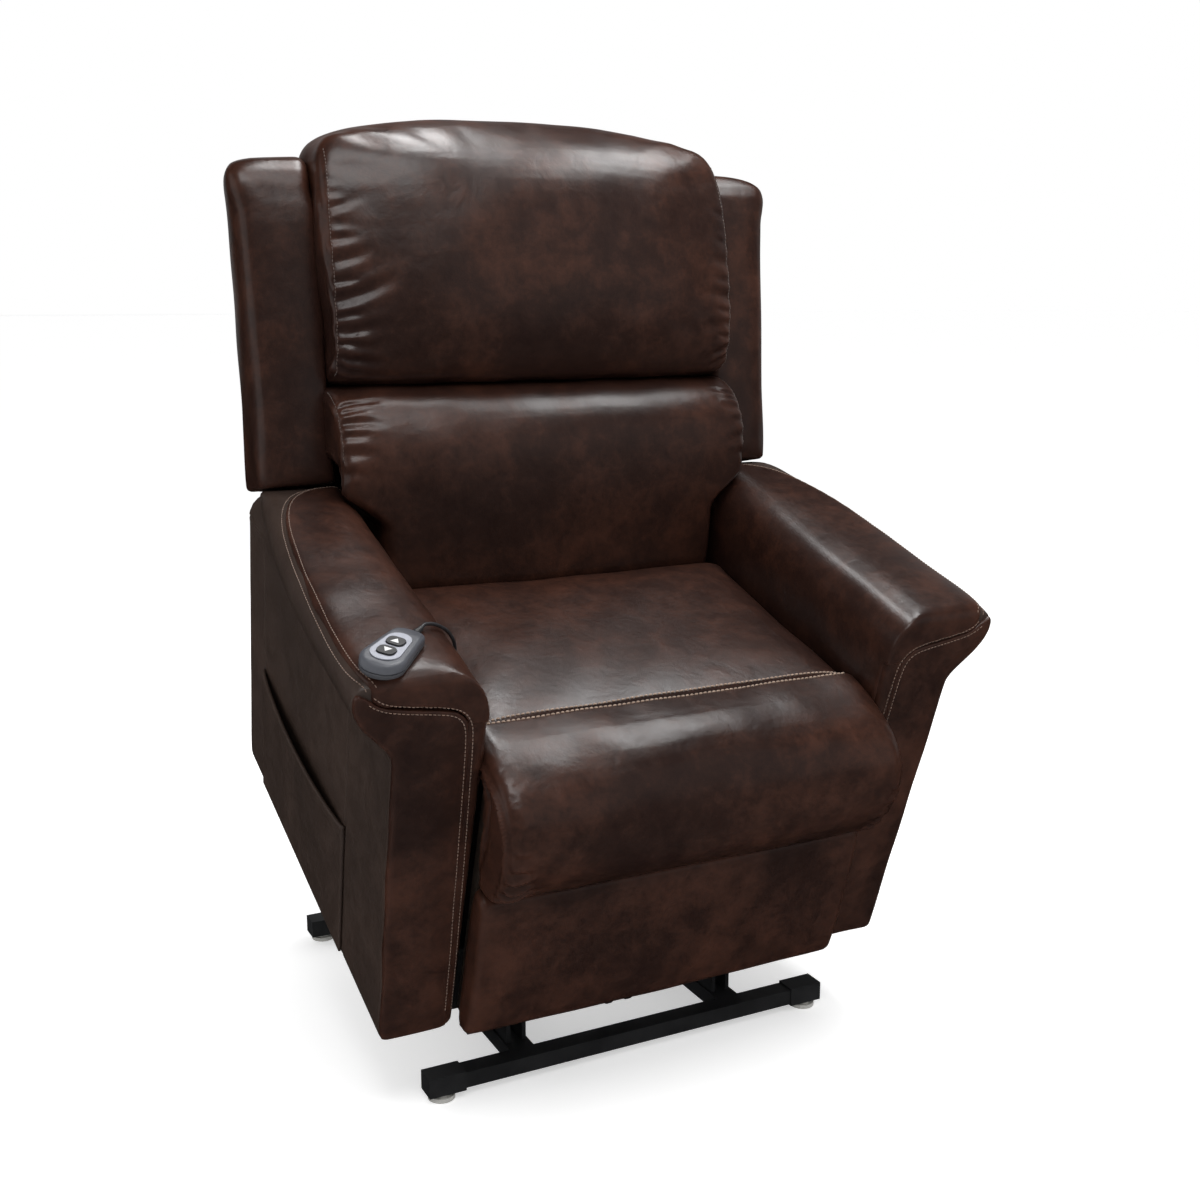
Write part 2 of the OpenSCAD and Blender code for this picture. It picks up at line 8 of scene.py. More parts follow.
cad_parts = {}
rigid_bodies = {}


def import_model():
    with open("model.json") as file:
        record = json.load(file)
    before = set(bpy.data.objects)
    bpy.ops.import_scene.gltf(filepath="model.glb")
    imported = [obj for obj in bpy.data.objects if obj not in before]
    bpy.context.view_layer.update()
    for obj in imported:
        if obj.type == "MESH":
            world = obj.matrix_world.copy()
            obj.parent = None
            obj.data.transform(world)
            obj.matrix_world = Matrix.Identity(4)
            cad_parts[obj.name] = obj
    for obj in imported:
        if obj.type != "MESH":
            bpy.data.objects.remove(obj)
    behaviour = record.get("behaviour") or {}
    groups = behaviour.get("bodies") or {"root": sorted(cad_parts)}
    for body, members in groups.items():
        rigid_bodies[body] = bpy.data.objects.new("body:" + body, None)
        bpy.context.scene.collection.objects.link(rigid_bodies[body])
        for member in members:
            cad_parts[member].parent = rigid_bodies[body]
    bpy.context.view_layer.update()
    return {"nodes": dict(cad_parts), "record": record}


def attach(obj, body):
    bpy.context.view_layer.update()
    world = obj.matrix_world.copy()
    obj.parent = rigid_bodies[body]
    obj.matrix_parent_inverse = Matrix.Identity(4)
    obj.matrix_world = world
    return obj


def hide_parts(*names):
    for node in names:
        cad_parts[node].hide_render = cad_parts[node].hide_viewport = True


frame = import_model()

SCENE = bpy.context.scene

# ------------------------------------------------------------------ frames
# body frame: mm, x right, y back, z up along the untilted chair body
# back frame: mm, x right, n backward, v up along the back, origin at its pivot
TILT, LEAN = math.radians(17.5), math.radians(20.8)
CT, ST, CL, SL = math.cos(TILT), math.sin(TILT), math.cos(LEAN), math.sin(LEAN)


def body(p):
    p = np.asarray(p, float)
    return np.stack([p[..., 0], -223.4 + CT * p[..., 1] - ST * p[..., 2], 119 + ST * p[..., 1] + CT * p[..., 2]], -1) / 1000


def unbody(p):
    p = np.asarray(p, float)
    y, z = p[..., 1] * 1000 + 223.4, p[..., 2] * 1000 - 119
    return np.stack([p[..., 0] * 1000, CT * y + ST * z, CT * z - ST * y], -1)


def back(p):
    p = np.asarray(p, float)
    return body(np.stack([p[..., 0], 640 + CL * p[..., 1] + SL * p[..., 2], 290 - SL * p[..., 1] + CL * p[..., 2]], -1))


def unback(p):
    q = unbody(p)
    y, z = q[..., 1] - 640, q[..., 2] - 290
    return np.stack([q[..., 0], CL * y - SL * z, SL * y + CL * z], -1)


def link(p):
    a = math.radians(-75)
    p = np.asarray(p, float)
    return body(np.stack([p[..., 0], 95 + p[..., 1] * math.cos(a) - p[..., 2] * math.sin(a), 300 + p[..., 1] * math.sin(a) + p[..., 2] * math.cos(a)], -1))


HS_TURN = math.radians(45)


def handset(p):
    p = np.asarray(p, float)
    c, s = math.cos(HS_TURN), math.sin(HS_TURN)
    return body(np.stack([-404 + c * p[..., 0] - s * p[..., 1], 43 + s * p[..., 0] + c * p[..., 1], 566.3 + p[..., 2]], -1))


# ------------------------------------------------------------------ distance fields
def poly(pts, a, b):
    """Signed distance to a closed outline, negative inside."""
    pts = np.asarray(pts, float)
    shape = np.broadcast(a, b).shape
    a, b = np.broadcast_to(a, shape), np.broadcast_to(b, shape)
    d2 = np.full(shape, 1e12)
    inside = np.zeros(shape, bool)
    for i in range(len(pts)):
        (x0, y0), (x1, y1) = pts[i], pts[(i + 1) % len(pts)]
        ex, ey = x1 - x0, y1 - y0
        wx, wy = a - x0, b - y0
        t = np.clip((wx * ex + wy * ey) / (ex * ex + ey * ey + 1e-9), 0, 1)
        d2 = np.minimum(d2, (wx - ex * t) ** 2 + (wy - ey * t) ** 2)
        if abs(ey) > 1e-9:
            cross = ((y0 <= b) & (y1 > b)) | ((y1 <= b) & (y0 > b))
            inside ^= cross & (a < x0 + (b - y0) / ey * ex)
    d = np.sqrt(d2)
    return np.where(inside, -d, d)


def soft(pts, n=2, lim=30.0):
    """Corner cutting: a smooth closed outline from a few control points; lim is the longest cut."""
    p = np.asarray(pts, float)
    for _ in range(n):
        q = np.roll(p, -1, 0)
        t = np.minimum(0.25, lim / np.maximum(np.linalg.norm(q - p, axis=1, keepdims=True), 1e-9))
        p = np.stack([p + (q - p) * t, q - (q - p) * t], 1).reshape(-1, 2)
    return p


def mirrored(pts):
    """Right half outline (bottom to top) closed with its mirror image."""
    p = np.asarray(pts, float)
    return np.concatenate([p, p[::-1] * [-1, 1]])


def rint(r, *ds):
    """Intersection with edges rounded to radius r."""
    m, q = None, 0
    for d in ds:
        e = d + r
        m = e if m is None else np.maximum(m, e)
        q = q + np.maximum(e, 0) ** 2
    return np.sqrt(q) + np.minimum(m, 0) - r


def smin(a, b, k):
    h = np.clip(0.5 + 0.5 * (b - a) / k, 0, 1)
    return b * (1 - h) + a * h - k * h * (1 - h)


def sstep(e0, e1, x):
    t = np.clip((x - e0) / (e1 - e0), 0, 1)
    return t * t * (3 - 2 * t)


def axis(lo, hi, h, fine=()):
    a = np.arange(lo - 1.5 * h, hi + 2 * h, h)
    for c, w, hf in fine:
        a = a[(a < c - w - 0.4 * hf) | (a > c + w + 0.4 * hf)]
        a = np.concatenate([a, np.arange(c - w, c + w + 1e-6, hf)])
    return np.unique(np.round(a, 3))


def nets(f, xs, ys, zs):
    """Quad mesh of the zero surface of f on a grid."""
    G = (xs, ys, zs)
    V = np.array(np.broadcast_to(f(xs[:, None, None], ys[None, :, None], zs[None, None, :]), tuple(map(len, G))), float)
    V[np.abs(V) < 1e-7] = 1e-7
    ins = V < 0
    s = [slice(None, -1), slice(1, None)]
    cnt = sum(ins[a, b, c].astype(np.int8) for a in s for b in s for c in s)
    act = (cnt > 0) & (cnt < 8)
    I = np.stack(np.nonzero(act), 1)
    idx = np.full(act.shape, -1, np.int64)
    idx[tuple(I.T)] = np.arange(len(I))
    acc, num = np.zeros((len(I), 3)), np.zeros(len(I))
    for ax in range(3):
        o = [k for k in range(3) if k != ax]
        for u in (0, 1):
            for w in (0, 1):
                a = I.copy()
                a[:, o[0]] += u
                a[:, o[1]] += w
                b = a.copy()
                b[:, ax] += 1
                va, vb = V[tuple(a.T)], V[tuple(b.T)]
                m = (va < 0) != (vb < 0)
                t = np.where(m, va / np.where(m, va - vb, 1), 0)
                p = np.stack([G[k][a[:, k]] for k in range(3)], 1)
                p[:, ax] += t * (G[ax][b[:, ax]] - G[ax][a[:, ax]])
                acc[m] += p[m]
                num[m] += 1
    P = acc / num[:, None]
    F = []
    for ax in range(3):
        b, c = (ax + 1) % 3, (ax + 2) % 3
        lo = [slice(None)] * 3
        hi = [slice(None)] * 3
        lo[ax], hi[ax] = slice(None, -1), slice(1, None)
        e = np.argwhere(ins[tuple(lo)] != ins[tuple(hi)])
        start = ins[tuple(e.T)]
        q = []
        for db, dc in ((-1, -1), (0, -1), (0, 0), (-1, 0)):
            t = e.copy()
            t[:, b] += db
            t[:, c] += dc
            q.append(idx[tuple(t.T)])
        q = np.stack(q, 1)
        q[~start] = q[~start][:, ::-1]
        F.append(q)
    return P, np.concatenate(F)


def relax(P, F, n=1, lam=0.5):
    src = np.concatenate([F.ravel(), np.roll(F, -1, 1).ravel()])
    dst = np.concatenate([np.roll(F, -1, 1).ravel(), F.ravel()])
    deg = np.maximum(np.bincount(src, minlength=len(P)), 1)
    for _ in range(n):
        S = np.stack([np.bincount(src, weights=P[dst, d], minlength=len(P)) for d in range(3)], 1) / deg[:, None]
        P = P + lam * (S - P)
    return P


def normals(P, F):
    n = np.cross(P[F[:, 2]] - P[F[:, 0]], P[F[:, 3 % F.shape[1]]] - P[F[:, 1]])
    N = np.zeros_like(P)
    for k in range(F.shape[1]):
        for d in range(3):
            N[:, d] += np.bincount(F[:, k], weights=n[:, d], minlength=len(P))
    return N / np.maximum(np.linalg.norm(N, axis=1, keepdims=True), 1e-12)


# ------------------------------------------------------------------ meshes
def mesh_obj(name, P, F, smooth=True):
    me = bpy.data.meshes.new(name)
    F = np.asarray(F, np.int32)
    me.vertices.add(len(P))
    me.vertices.foreach_set("co", np.asarray(P, np.float32).ravel())
    me.loops.add(F.size)
    me.loops.foreach_set("vertex_index", F.ravel())
    me.polygons.add(len(F))
    me.polygons.foreach_set("loop_start", np.arange(0, F.size, F.shape[1], dtype=np.int32))
    me.polygons.foreach_set("use_smooth", np.full(len(F), smooth))
    me.update(calc_edges=True)
    me.validate()
    ob = bpy.data.objects.new(name, me)
    SCENE.collection.objects.link(ob)
    return ob


def coords(ob):
    co = np.zeros(len(ob.data.vertices) * 3, np.float32)
    ob.data.vertices.foreach_get("co", co)
    return co.reshape(-1, 3).astype(float)


def faces4(ob):
    v = np.zeros(len(ob.data.loops), np.int32)
    ob.data.loops.foreach_get("vertex_index", v)
    return v.reshape(-1, 4)


def set_coords(ob, P):
    ob.data.vertices.foreach_set("co", np.asarray(P, np.float32).ravel())
    ob.data.update()


def solid(name, f, bx, h, place, fine=((), (), ()), rel=1, mirror=False):
    xs, ys, zs = (axis(bx[2 * k], bx[2 * k + 1], h, fine[k]) for k in range(3))
    P, F = nets(f, xs, ys, zs)
    if rel:
        P = relax(P, F, rel, 0.4)
    if mirror:
        P = P * [-1, 1, 1]
        F = F[:, ::-1]
    return mesh_obj(name, place(P), F)


def subdivide(ob, levels=1):
    m = ob.modifiers.new("sub", "SUBSURF")
    m.levels = m.render_levels = levels
    dg = bpy.context.evaluated_depsgraph_get()
    me = bpy.data.meshes.new_from_object(ob.evaluated_get(dg), depsgraph=dg)
    ob.modifiers.clear()
    old = ob.data
    ob.data = me
    bpy.data.meshes.remove(old)
    me.polygons.foreach_set("use_smooth", np.ones(len(me.polygons), bool))
    me.update()


def wave(P, seed, size, amp):
    """A slow uneven surface: a few sines of about that wavelength, in mm."""
    rng = np.random.default_rng(seed)
    out = np.zeros(len(P))
    for _ in range(7):
        k = rng.normal(size=3)
        k *= 2 * math.pi / (size * rng.uniform(0.7, 1.5)) / np.linalg.norm(k)
        out += np.sin(P @ k + rng.uniform(0, 6.28))
    return out * amp / 2.6


def folds(P, N, rows):
    """Puckers: each row is start point, direction, length, half width, depth and bend."""
    out = np.zeros(len(P))
    for o, d, L, w, a, k in rows:
        d = np.asarray(d, float) / np.linalg.norm(d)
        r = P - np.asarray(o, float)
        s = r @ d
        near = (s > -0.25 * L) & (s < 1.05 * L)
        q = r - s[:, None] * d
        q = q - (q * N).sum(1)[:, None] * N
        side = np.cross(N, d)
        off = (q * side).sum(1) - k * (s / L) ** 2 * L
        env = np.where(near, sstep(-0.25 * L, 0.08 * L, s) * (1 - sstep(0.25 * L, L, s)), 0)
        env = env * (np.abs((r * N).sum(1)) < 40)
        out += env * a * (-np.exp(-((off / w) ** 2)) + 0.55 * np.exp(-(((np.abs(off) - 1.9 * w) / w) ** 2)))
    return out


def inflate(jobs, frames=20):
    """Cloth under inner pressure; each job is object, pin weights, pressure, furthest move in m, tension, where its own creases stay."""
    rest = {}
    for ob, pin, pressure, cap, tension, crease in jobs:
        rest[ob.name] = coords(ob)
        g = ob.vertex_groups.new(name="pin")
        w = np.clip(np.round(pin * 20) / 20, 0, 1)
        for val in np.unique(w):
            if val > 0:
                g.add([int(i) for i in np.nonzero(w == val)[0]], float(val), "REPLACE")
        m = ob.modifiers.new("cloth", "CLOTH")
        s = m.settings
        s.quality = 6
        s.mass = 0.35
        s.tension_stiffness = s.compression_stiffness = tension
        s.shear_stiffness = tension * 0.4
        s.bending_stiffness = 0.8
        s.tension_damping = s.compression_damping = 8
        s.vertex_group_mass = "pin"
        s.pin_stiffness = 1.0
        s.use_pressure = True
        s.uniform_pressure_force = pressure
        s.effector_weights.gravity = 0
        m.collision_settings.use_collision = False
        m.collision_settings.use_self_collision = False
        m.point_cache.frame_start, m.point_cache.frame_end = 1, frames
    for f in range(1, frames + 1):
        SCENE.frame_set(f)
    dg = bpy.context.evaluated_depsgraph_get()
    moved = {}
    for ob, pin, pressure, cap, tension, crease in jobs:
        e = ob.evaluated_get(dg)
        co = np.zeros(len(e.data.vertices) * 3, np.float32)
        e.data.vertices.foreach_get("co", co)
        d = co.reshape(-1, 3).astype(float) - rest[ob.name]
        n = np.linalg.norm(d, axis=1, keepdims=True)
        print("inflate", ob.name, len(d), "mean", round(float(n.mean()) * 1000, 1), "max", round(float(n.max()) * 1000, 1))
        d = d * (cap * np.tanh(n / cap) / np.maximum(n, 1e-9))
        d = d * crease[:, None] + relax(d, faces4(ob), 14, 0.5) * (1 - crease[:, None])
        moved[ob.name] = rest[ob.name] + d
    for ob, *_ in jobs:
        ob.modifiers.clear()
        ob.vertex_groups.clear()
        set_coords(ob, moved[ob.name])
    SCENE.frame_set(1)


# ------------------------------------------------------------------ materials
def nodes_of(name):
    m = bpy.data.materials.new(name)
    m.use_nodes = True
    nt = m.node_tree
    nt.nodes.clear()
    out = nt.nodes.new("ShaderNodeOutputMaterial")
    b = nt.nodes.new("ShaderNodeBsdfPrincipled")
    nt.links.new(b.outputs[0], out.inputs[0])
    return m, nt, b


def nd(nt, kind, ins=(), **props):
    n = nt.nodes.new(kind)
    for k, v in props.items():
        setattr(n, k, v)
    for k, v in dict(ins).items():
        if isinstance(v, bpy.types.NodeSocket):
            nt.links.new(v, n.inputs[k])
        else:
            n.inputs[k].default_value = v
    return n


def ramp(nt, fac, stops):
    r = nt.nodes.new("ShaderNodeValToRGB")
    nt.links.new(fac, r.inputs[0])
    e = r.color_ramp.elements
    while len(e) < len(stops):
        e.new(0.5)
    for el, (p, c) in zip(e, stops):
        el.position = p
        el.color = (*c, 1) if len(c) == 3 else c
    return r.outputs[0]


def remap(nt, fac, a, b, c, d):
    return nd(nt, "ShaderNodeMapRange", {0: fac, 1: a, 2: b, 3: c, 4: d}).outputs[0]


def math2(nt, op, a, b):
    return nd(nt, "ShaderNodeMath", {0: a, 1: b}, operation=op).outputs[0]


def noise(nt, vec, scale, detail=3.0, rough=0.55, dist=0.0):
    return nd(nt, "ShaderNodeTexNoise", {"Vector": vec, "Scale": scale, "Detail": detail, "Roughness": rough, "Distortion": dist}).outputs[0]


def leather_mat(name, stops, rough=(0.285, 0.355), grain=0.11, spec=0.40, coat=0.0, big=1.0, wear=0.16):
    m, nt, b = nodes_of(name)
    co = nd(nt, "ShaderNodeTexCoord").outputs["Object"]
    n1 = noise(nt, co, 5.0 * big, 3, 0.55, 0.5)
    n2 = noise(nt, co, 30.0 * big, 4, 0.62, 0.3)
    n3 = noise(nt, co, 140.0, 3, 0.6, 0.1)
    mix = math2(nt, "ADD", math2(nt, "ADD", math2(nt, "MULTIPLY", n1, 0.48), math2(nt, "MULTIPLY", n2, 0.36)), math2(nt, "MULTIPLY", n3, 0.16))
    col = ramp(nt, mix, stops)
    # rubbed ridges are a little warmer and lighter
    pt = nd(nt, "ShaderNodeNewGeometry").outputs["Pointiness"]
    rub = math2(nt, "MULTIPLY", remap(nt, pt, 0.505, 0.56, 0.0, 1.0), wear)
    col = nd(nt, "ShaderNodeMix", {0: rub, 6: col, 7: (*[min(1, 2.1 * x + 0.004) for x in stops[-1][1]], 1)}, data_type="RGBA").outputs[2]
    nt.links.new(col, b.inputs["Base Color"])
    # pebble grain, creases between pebbles, slow unevenness
    peb = noise(nt, co, 330.0, 1, 0.5, 0.2)
    wr = noise(nt, co, 120.0, 2, 0.5, 0.1)
    h = math2(nt, "ADD", math2(nt, "MULTIPLY", peb, 0.25), math2(nt, "MULTIPLY", wr, 0.75))
    b1 = nd(nt, "ShaderNodeBump", {"Strength": grain, "Distance": 0.0009, "Height": h})
    b2 = nd(nt, "ShaderNodeBump", {"Strength": 0.16, "Distance": 0.004, "Height": noise(nt, co, 30.0, 4, 0.6, 0.4), "Normal": b1.outputs[0]})
    nt.links.new(b2.outputs[0], b.inputs["Normal"])
    r = remap(nt, math2(nt, "ADD", math2(nt, "MULTIPLY", n2, 0.6), math2(nt, "MULTIPLY", wr, 0.4)), 0.3, 0.7, rough[0], rough[1])
    nt.links.new(r, b.inputs["Roughness"])
    b.inputs["Specular IOR Level"].default_value = spec
    b.inputs["Coat Weight"].default_value = coat
    b.inputs["Coat Roughness"].default_value = 0.28
    return m


def metal_mat(name, col, rough, metallic, bump=0.05, scale=900.0, var=0.25):
    m, nt, b = nodes_of(name)
    co = nd(nt, "ShaderNodeTexCoord").outputs["Object"]
    n1 = noise(nt, co, 18.0, 5, 0.6)
    n2 = noise(nt, co, scale, 3, 0.6)
    c = ramp(nt, n1, [(0.3, [x * (1 - var) for x in col]), (0.7, [min(1, x * (1 + var)) for x in col])])
    nt.links.new(c, b.inputs["Base Color"])
    nt.links.new(remap(nt, n1, 0.3, 0.7, rough * 0.8, min(1, rough * 1.25)), b.inputs["Roughness"])
    bp = nd(nt, "ShaderNodeBump", {"Strength": bump, "Distance": 0.0005, "Height": n2})
    nt.links.new(bp.outputs[0], b.inputs["Normal"])
    b.inputs["Metallic"].default_value = metallic
    return m


def wood_mat(name):
    m, nt, b = nodes_of(name)
    co = nd(nt, "ShaderNodeTexCoord").outputs["Object"]
    st = nd(nt, "ShaderNodeMapping", {0: co, 3: (2.0, 30.0, 30.0)}).outputs[0]
    n1 = noise(nt, st, 3.0, 5, 0.6, 1.2)
    nt.links.new(ramp(nt, n1, [(0.3, (0.022, 0.015, 0.011)), (0.55, (0.034, 0.023, 0.016)), (0.7, (0.048, 0.033, 0.022))]), b.inputs["Base Color"])
    bp = nd(nt, "ShaderNodeBump", {"Strength": 0.2, "Distance": 0.001, "Height": n1})
    nt.links.new(bp.outputs[0], b.inputs["Normal"])
    b.inputs["Roughness"].default_value = 0.62
    return m


def thread_mat(name, a, c):
    m, nt, b = nodes_of(name)
    co = nd(nt, "ShaderNodeTexCoord").outputs["Object"]
    n1 = noise(nt, co, 160.0, 3, 0.6)
    nt.links.new(ramp(nt, n1, [(0.3, a), (0.7, c)]), b.inputs["Base Color"])
    b.inputs["Roughness"].default_value = 0.6
    b.inputs["Sheen Weight"].default_value = 0.3
    return m


BROWN = [(0.38, (0.0142, 0.0061, 0.0046)), (0.47, (0.0195, 0.0081, 0.0056)), (0.55, (0.031, 0.0118, 0.0073)), (0.64, (0.0445, 0.0160, 0.0093))]
# side panels: their own smoother leather, with a lighter grey cast in its colour that paints the sheen of the bright
# surroundings reflected in them
SIDE_TONE_AND_SHEEN = [(0.38, (0.0262, 0.0166, 0.0129)), (0.50, (0.0305, 0.0190, 0.0145)), (0.62, (0.0385, 0.0235, 0.0176))]
LEATHER = leather_mat("leather_burnished", BROWN)
SIDE = leather_mat("leather_side", SIDE_TONE_AND_SHEEN, rough=(0.42, 0.56), grain=0.12, spec=0.35, coat=0.0, wear=0.1)
BLACK_STEEL = metal_mat("steel_black_powder_coat", (0.012, 0.012, 0.013), 0.42, 0.0, 0.12, 1400.0)
BRIGHT = metal_mat("steel_bright", (0.50, 0.50, 0.51), 0.30, 0.45, 0.03, 500.0, 0.12)
GLIDE = metal_mat("glide_metal", (0.56, 0.55, 0.52), 0.25, 0.35, 0.03, 500.0, 0.15)
PLASTIC = metal_mat("plastic_black_moulded", (0.013, 0.013, 0.014), 0.46, 0.0, 0.10, 1200.0)
SHELL_GREY = metal_mat("plastic_grey_moulded", (0.062, 0.065, 0.076), 0.42, 0.0, 0.07, 1500.0, 0.12)
SHELL_DARK = metal_mat("plastic_dark_grey_moulded", (0.040, 0.041, 0.047), 0.45, 0.0, 0.07, 1500.0, 0.12)
SILVER = metal_mat("plate_silver", (0.30, 0.31, 0.35), 0.40, 0.35, 0.04, 1500.0, 0.08)
CORD = metal_mat("cord_black_pvc", (0.016, 0.016, 0.018), 0.44, 0.0, 0.06, 900.0)
WOOD = wood_mat("frame_wood_ply")
THREAD = thread_mat("thread_tan", (0.10, 0.056, 0.036), (0.20, 0.120, 0.082))
# the same tan thread made paler for the seat and roll edge rows: a painted highlight on those stitches
THREAD_TAN_LIT = thread_mat("thread_tan_painted_highlight", (0.20, 0.130, 0.090), (0.36, 0.255, 0.190))
THREAD_DARK = thread_mat("thread_brown", (0.040, 0.022, 0.015), (0.085, 0.050, 0.036))
WHITE = metal_mat("print_white", (0.70, 0.70, 0.70), 0.5, 0.0, 0.02, 1500.0, 0.05)
SLOTS = {"leather": LEATHER, "side_leather": SIDE, "black_steel": BLACK_STEEL, "bright_steel": BRIGHT, "glide_metal": GLIDE,
         "black_plastic": PLASTIC, "cord_black": CORD, "handset_grey": SHELL_GREY, "silver_plate": SILVER, "frame_wood": WOOD}

node_slot = {}
for m in frame["record"]["materials"]:
    for n in m.get("nodes", []) or []:
        node_slot[n] = m["slot"]
for s in frame["record"].get("subparts", []) or []:
    if isinstance(s, dict) and s.get("node") and s.get("material_slot"):
        node_slot[s["node"]] = s["material_slot"]
for n, o in frame["nodes"].items():
    key = node_slot.get(n)
    if key is None:
        key = next((k for k, words in (("glide_metal", ("glide",)), ("cord_black", ("handset_cord",)), ("handset_grey", ("upper_shell",)), ("silver_plate", ("faceplate",)),
                                       ("black_plastic", ("sleeve", "housing", "control_box", "inlet", "handset", "button", "gland", "relief")),
                                       ("bright_steel", ("pivot_pins", "actuator_tube", "actuator_rod")),
                                       ("frame_wood", ("seat_rails", "seat_deck", "back_frame", "board")),
                                       ("side_leather", ("outer", "rear_skirt", "arm_left_rear", "arm_right_rear", "pocket", "walls")),
                                       ("leather", ("cushion", "pad", "arm_left", "arm_right", "wing"))) if any(w in n for w in words)), "black_steel")
    o.data.materials.clear()
    o.data.materials.append(SLOTS[key])

# ------------------------------------------------------------------ stage
bpy.ops.mesh.primitive_plane_add(size=160, location=(0, 0, -0.0006))
floor = bpy.context.object
floor.name = "floor"
fm, fnt, fb = nodes_of("floor_pale")
fb.inputs["Base Color"].default_value = (0.93, 0.93, 0.93, 1)
fb.inputs["Roughness"].default_value = 0.9
fb.inputs["Specular IOR Level"].default_value = 0.1
fb.inputs["Emission Color"].default_value = (1, 1, 1, 1)
fb.inputs["Emission Strength"].default_value = 0.42
floor.data.materials.append(fm)
floor.visible_glossy = False
world = bpy.data.worlds.new("studio")
SCENE.world = world
world.use_nodes = True
wnt = world.node_tree
wz = nd(wnt, "ShaderNodeSeparateXYZ", {0: nd(wnt, "ShaderNodeTexCoord").outputs["Generated"]}).outputs[2]
wv = nd(wnt, "ShaderNodeMapRange", {0: wz, 1: 0.21, 2: 0.34, 3: 1.0, 4: 0.62}, interpolation_type="SMOOTHSTEP").outputs[0]
wv = math2(wnt, "MULTIPLY", wv, remap(wnt, wz, -0.03, -0.012, 0.05, 1.0))
wnt.links.new(wv, wnt.nodes["Background"].inputs[0])
wnt.nodes["Background"].inputs[1].default_value = 1.0


def sun(name, way, degrees, power):
    l = bpy.data.lights.new(name, "SUN")
    l.energy, l.angle = power, math.radians(degrees)
    o = bpy.data.objects.new(name, l)
    SCENE.collection.objects.link(o)
    o.rotation_euler = Vector(way).to_track_quat("Z", "Y").to_euler()
    return o


def area(name, loc, target, sx, sy, watts):
    l = bpy.data.lights.new(name, "AREA")
    l.shape, l.size, l.size_y, l.energy = "RECTANGLE", sx, sy, watts
    o = bpy.data.objects.new(name, l)
    SCENE.collection.objects.link(o)
    o.location = loc
    o.rotation_euler = (Vector(target) - Vector(loc)).to_track_quat("-Z", "Y").to_euler()
    o.visible_camera = False
    return o


world.cycles_visibility.glossy = False
for name, x, y, sx, sy, watts in (("softbox_left", 0.12, 0.26, 0.34, 0.86, 15.5), ("softbox_right", 0.84, -0.06, 0.50, 0.90, 17), ("softbox_front", -0.50, -1.60, 1.80, 1.40, 42)):
    o = area(name, (x, y, 2.4), (x, y + 0.001, 0), sx, sy, watts)
    o.rotation_euler = (0, 0, 0)
    if name == "softbox_front":
        o.location.z = 3.2
        o.rotation_euler = (math.radians(28), 0, math.radians(-14))
area("fill_left", (-3.0, 0.2, 1.6), (0, 0, 0.6), 3.0, 2.2, 12)
area("bounce_left", (-1.8, 2.4, 0.5), (-0.4, 0.1, 0.4), 2.2, 1.0, 20).visible_glossy = False
area("fill_front", (1.8, -3.2, 1.9), (0, 0, 0.7), 3.2, 2.4, 6)
area("fill_rear", (0.6, 3.2, 1.8), (0, 0, 0.7), 3.0, 2.2, 6)
area("fill_right", (3.2, 0.6, 1.6), (0, 0, 0.6), 3.0, 2.2, 6)
cam_data = bpy.data.cameras.new("camera")
cam_data.sensor_width, cam_data.lens = 36, 43.63
cam = bpy.data.objects.new("camera", cam_data)
SCENE.collection.objects.link(cam)
cam.location = (-0.9282, -1.9171, 1.0843)
cam.rotation_euler = (math.radians(90 - 11.86), 0, math.radians(-26.85))
SCENE.camera = cam
SCENE.view_settings.view_transform = "Standard"


def piece(ob, mat, rider, nodes=()):
    ob.data.materials.append(mat)
    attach(ob, rider)
    if nodes:
        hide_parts(*nodes)
    return ob


# ------------------------------------------------------------------ handset cord
# route in the body frame, the same points as the CAD tube
HS_END = np.array([-404 + 72 * math.cos(HS_TURN), 43 + 72 * math.sin(HS_TURN), 572.3])
HS_DIR = np.array([math.cos(HS_TURN), math.sin(HS_TURN), 0])
ROUTE = [HS_END, HS_END + 12 * HS_DIR, (-331, 110, 567), (-317, 118, 557), (-303.5, 124.5, 544), (-292.5, 129.5, 525), (-288.6, 132.5, 503), (-288.4, 134.5, 475), (-289.4, 134.5, 440), (-290, 134, 404)]
ROUTE = np.array([np.asarray(p, float) for p in ROUTE])


def catmull(pts, steps):
    p = np.vstack([2 * pts[0] - pts[1], pts, 2 * pts[-1] - pts[-2]])
    out = []
    for i in range(len(pts) - 1):
        a, b, c, d = p[i], p[i + 1], p[i + 2], p[i + 3]
        for t in np.arange(steps) / steps:
            out.append(0.5 * (2 * b + (c - a) * t + (2 * a - 5 * b + 4 * c - d) * t * t + (3 * b - a - 3 * c + d) * t ** 3))
    out.append(pts[-1])
    return np.array(out)


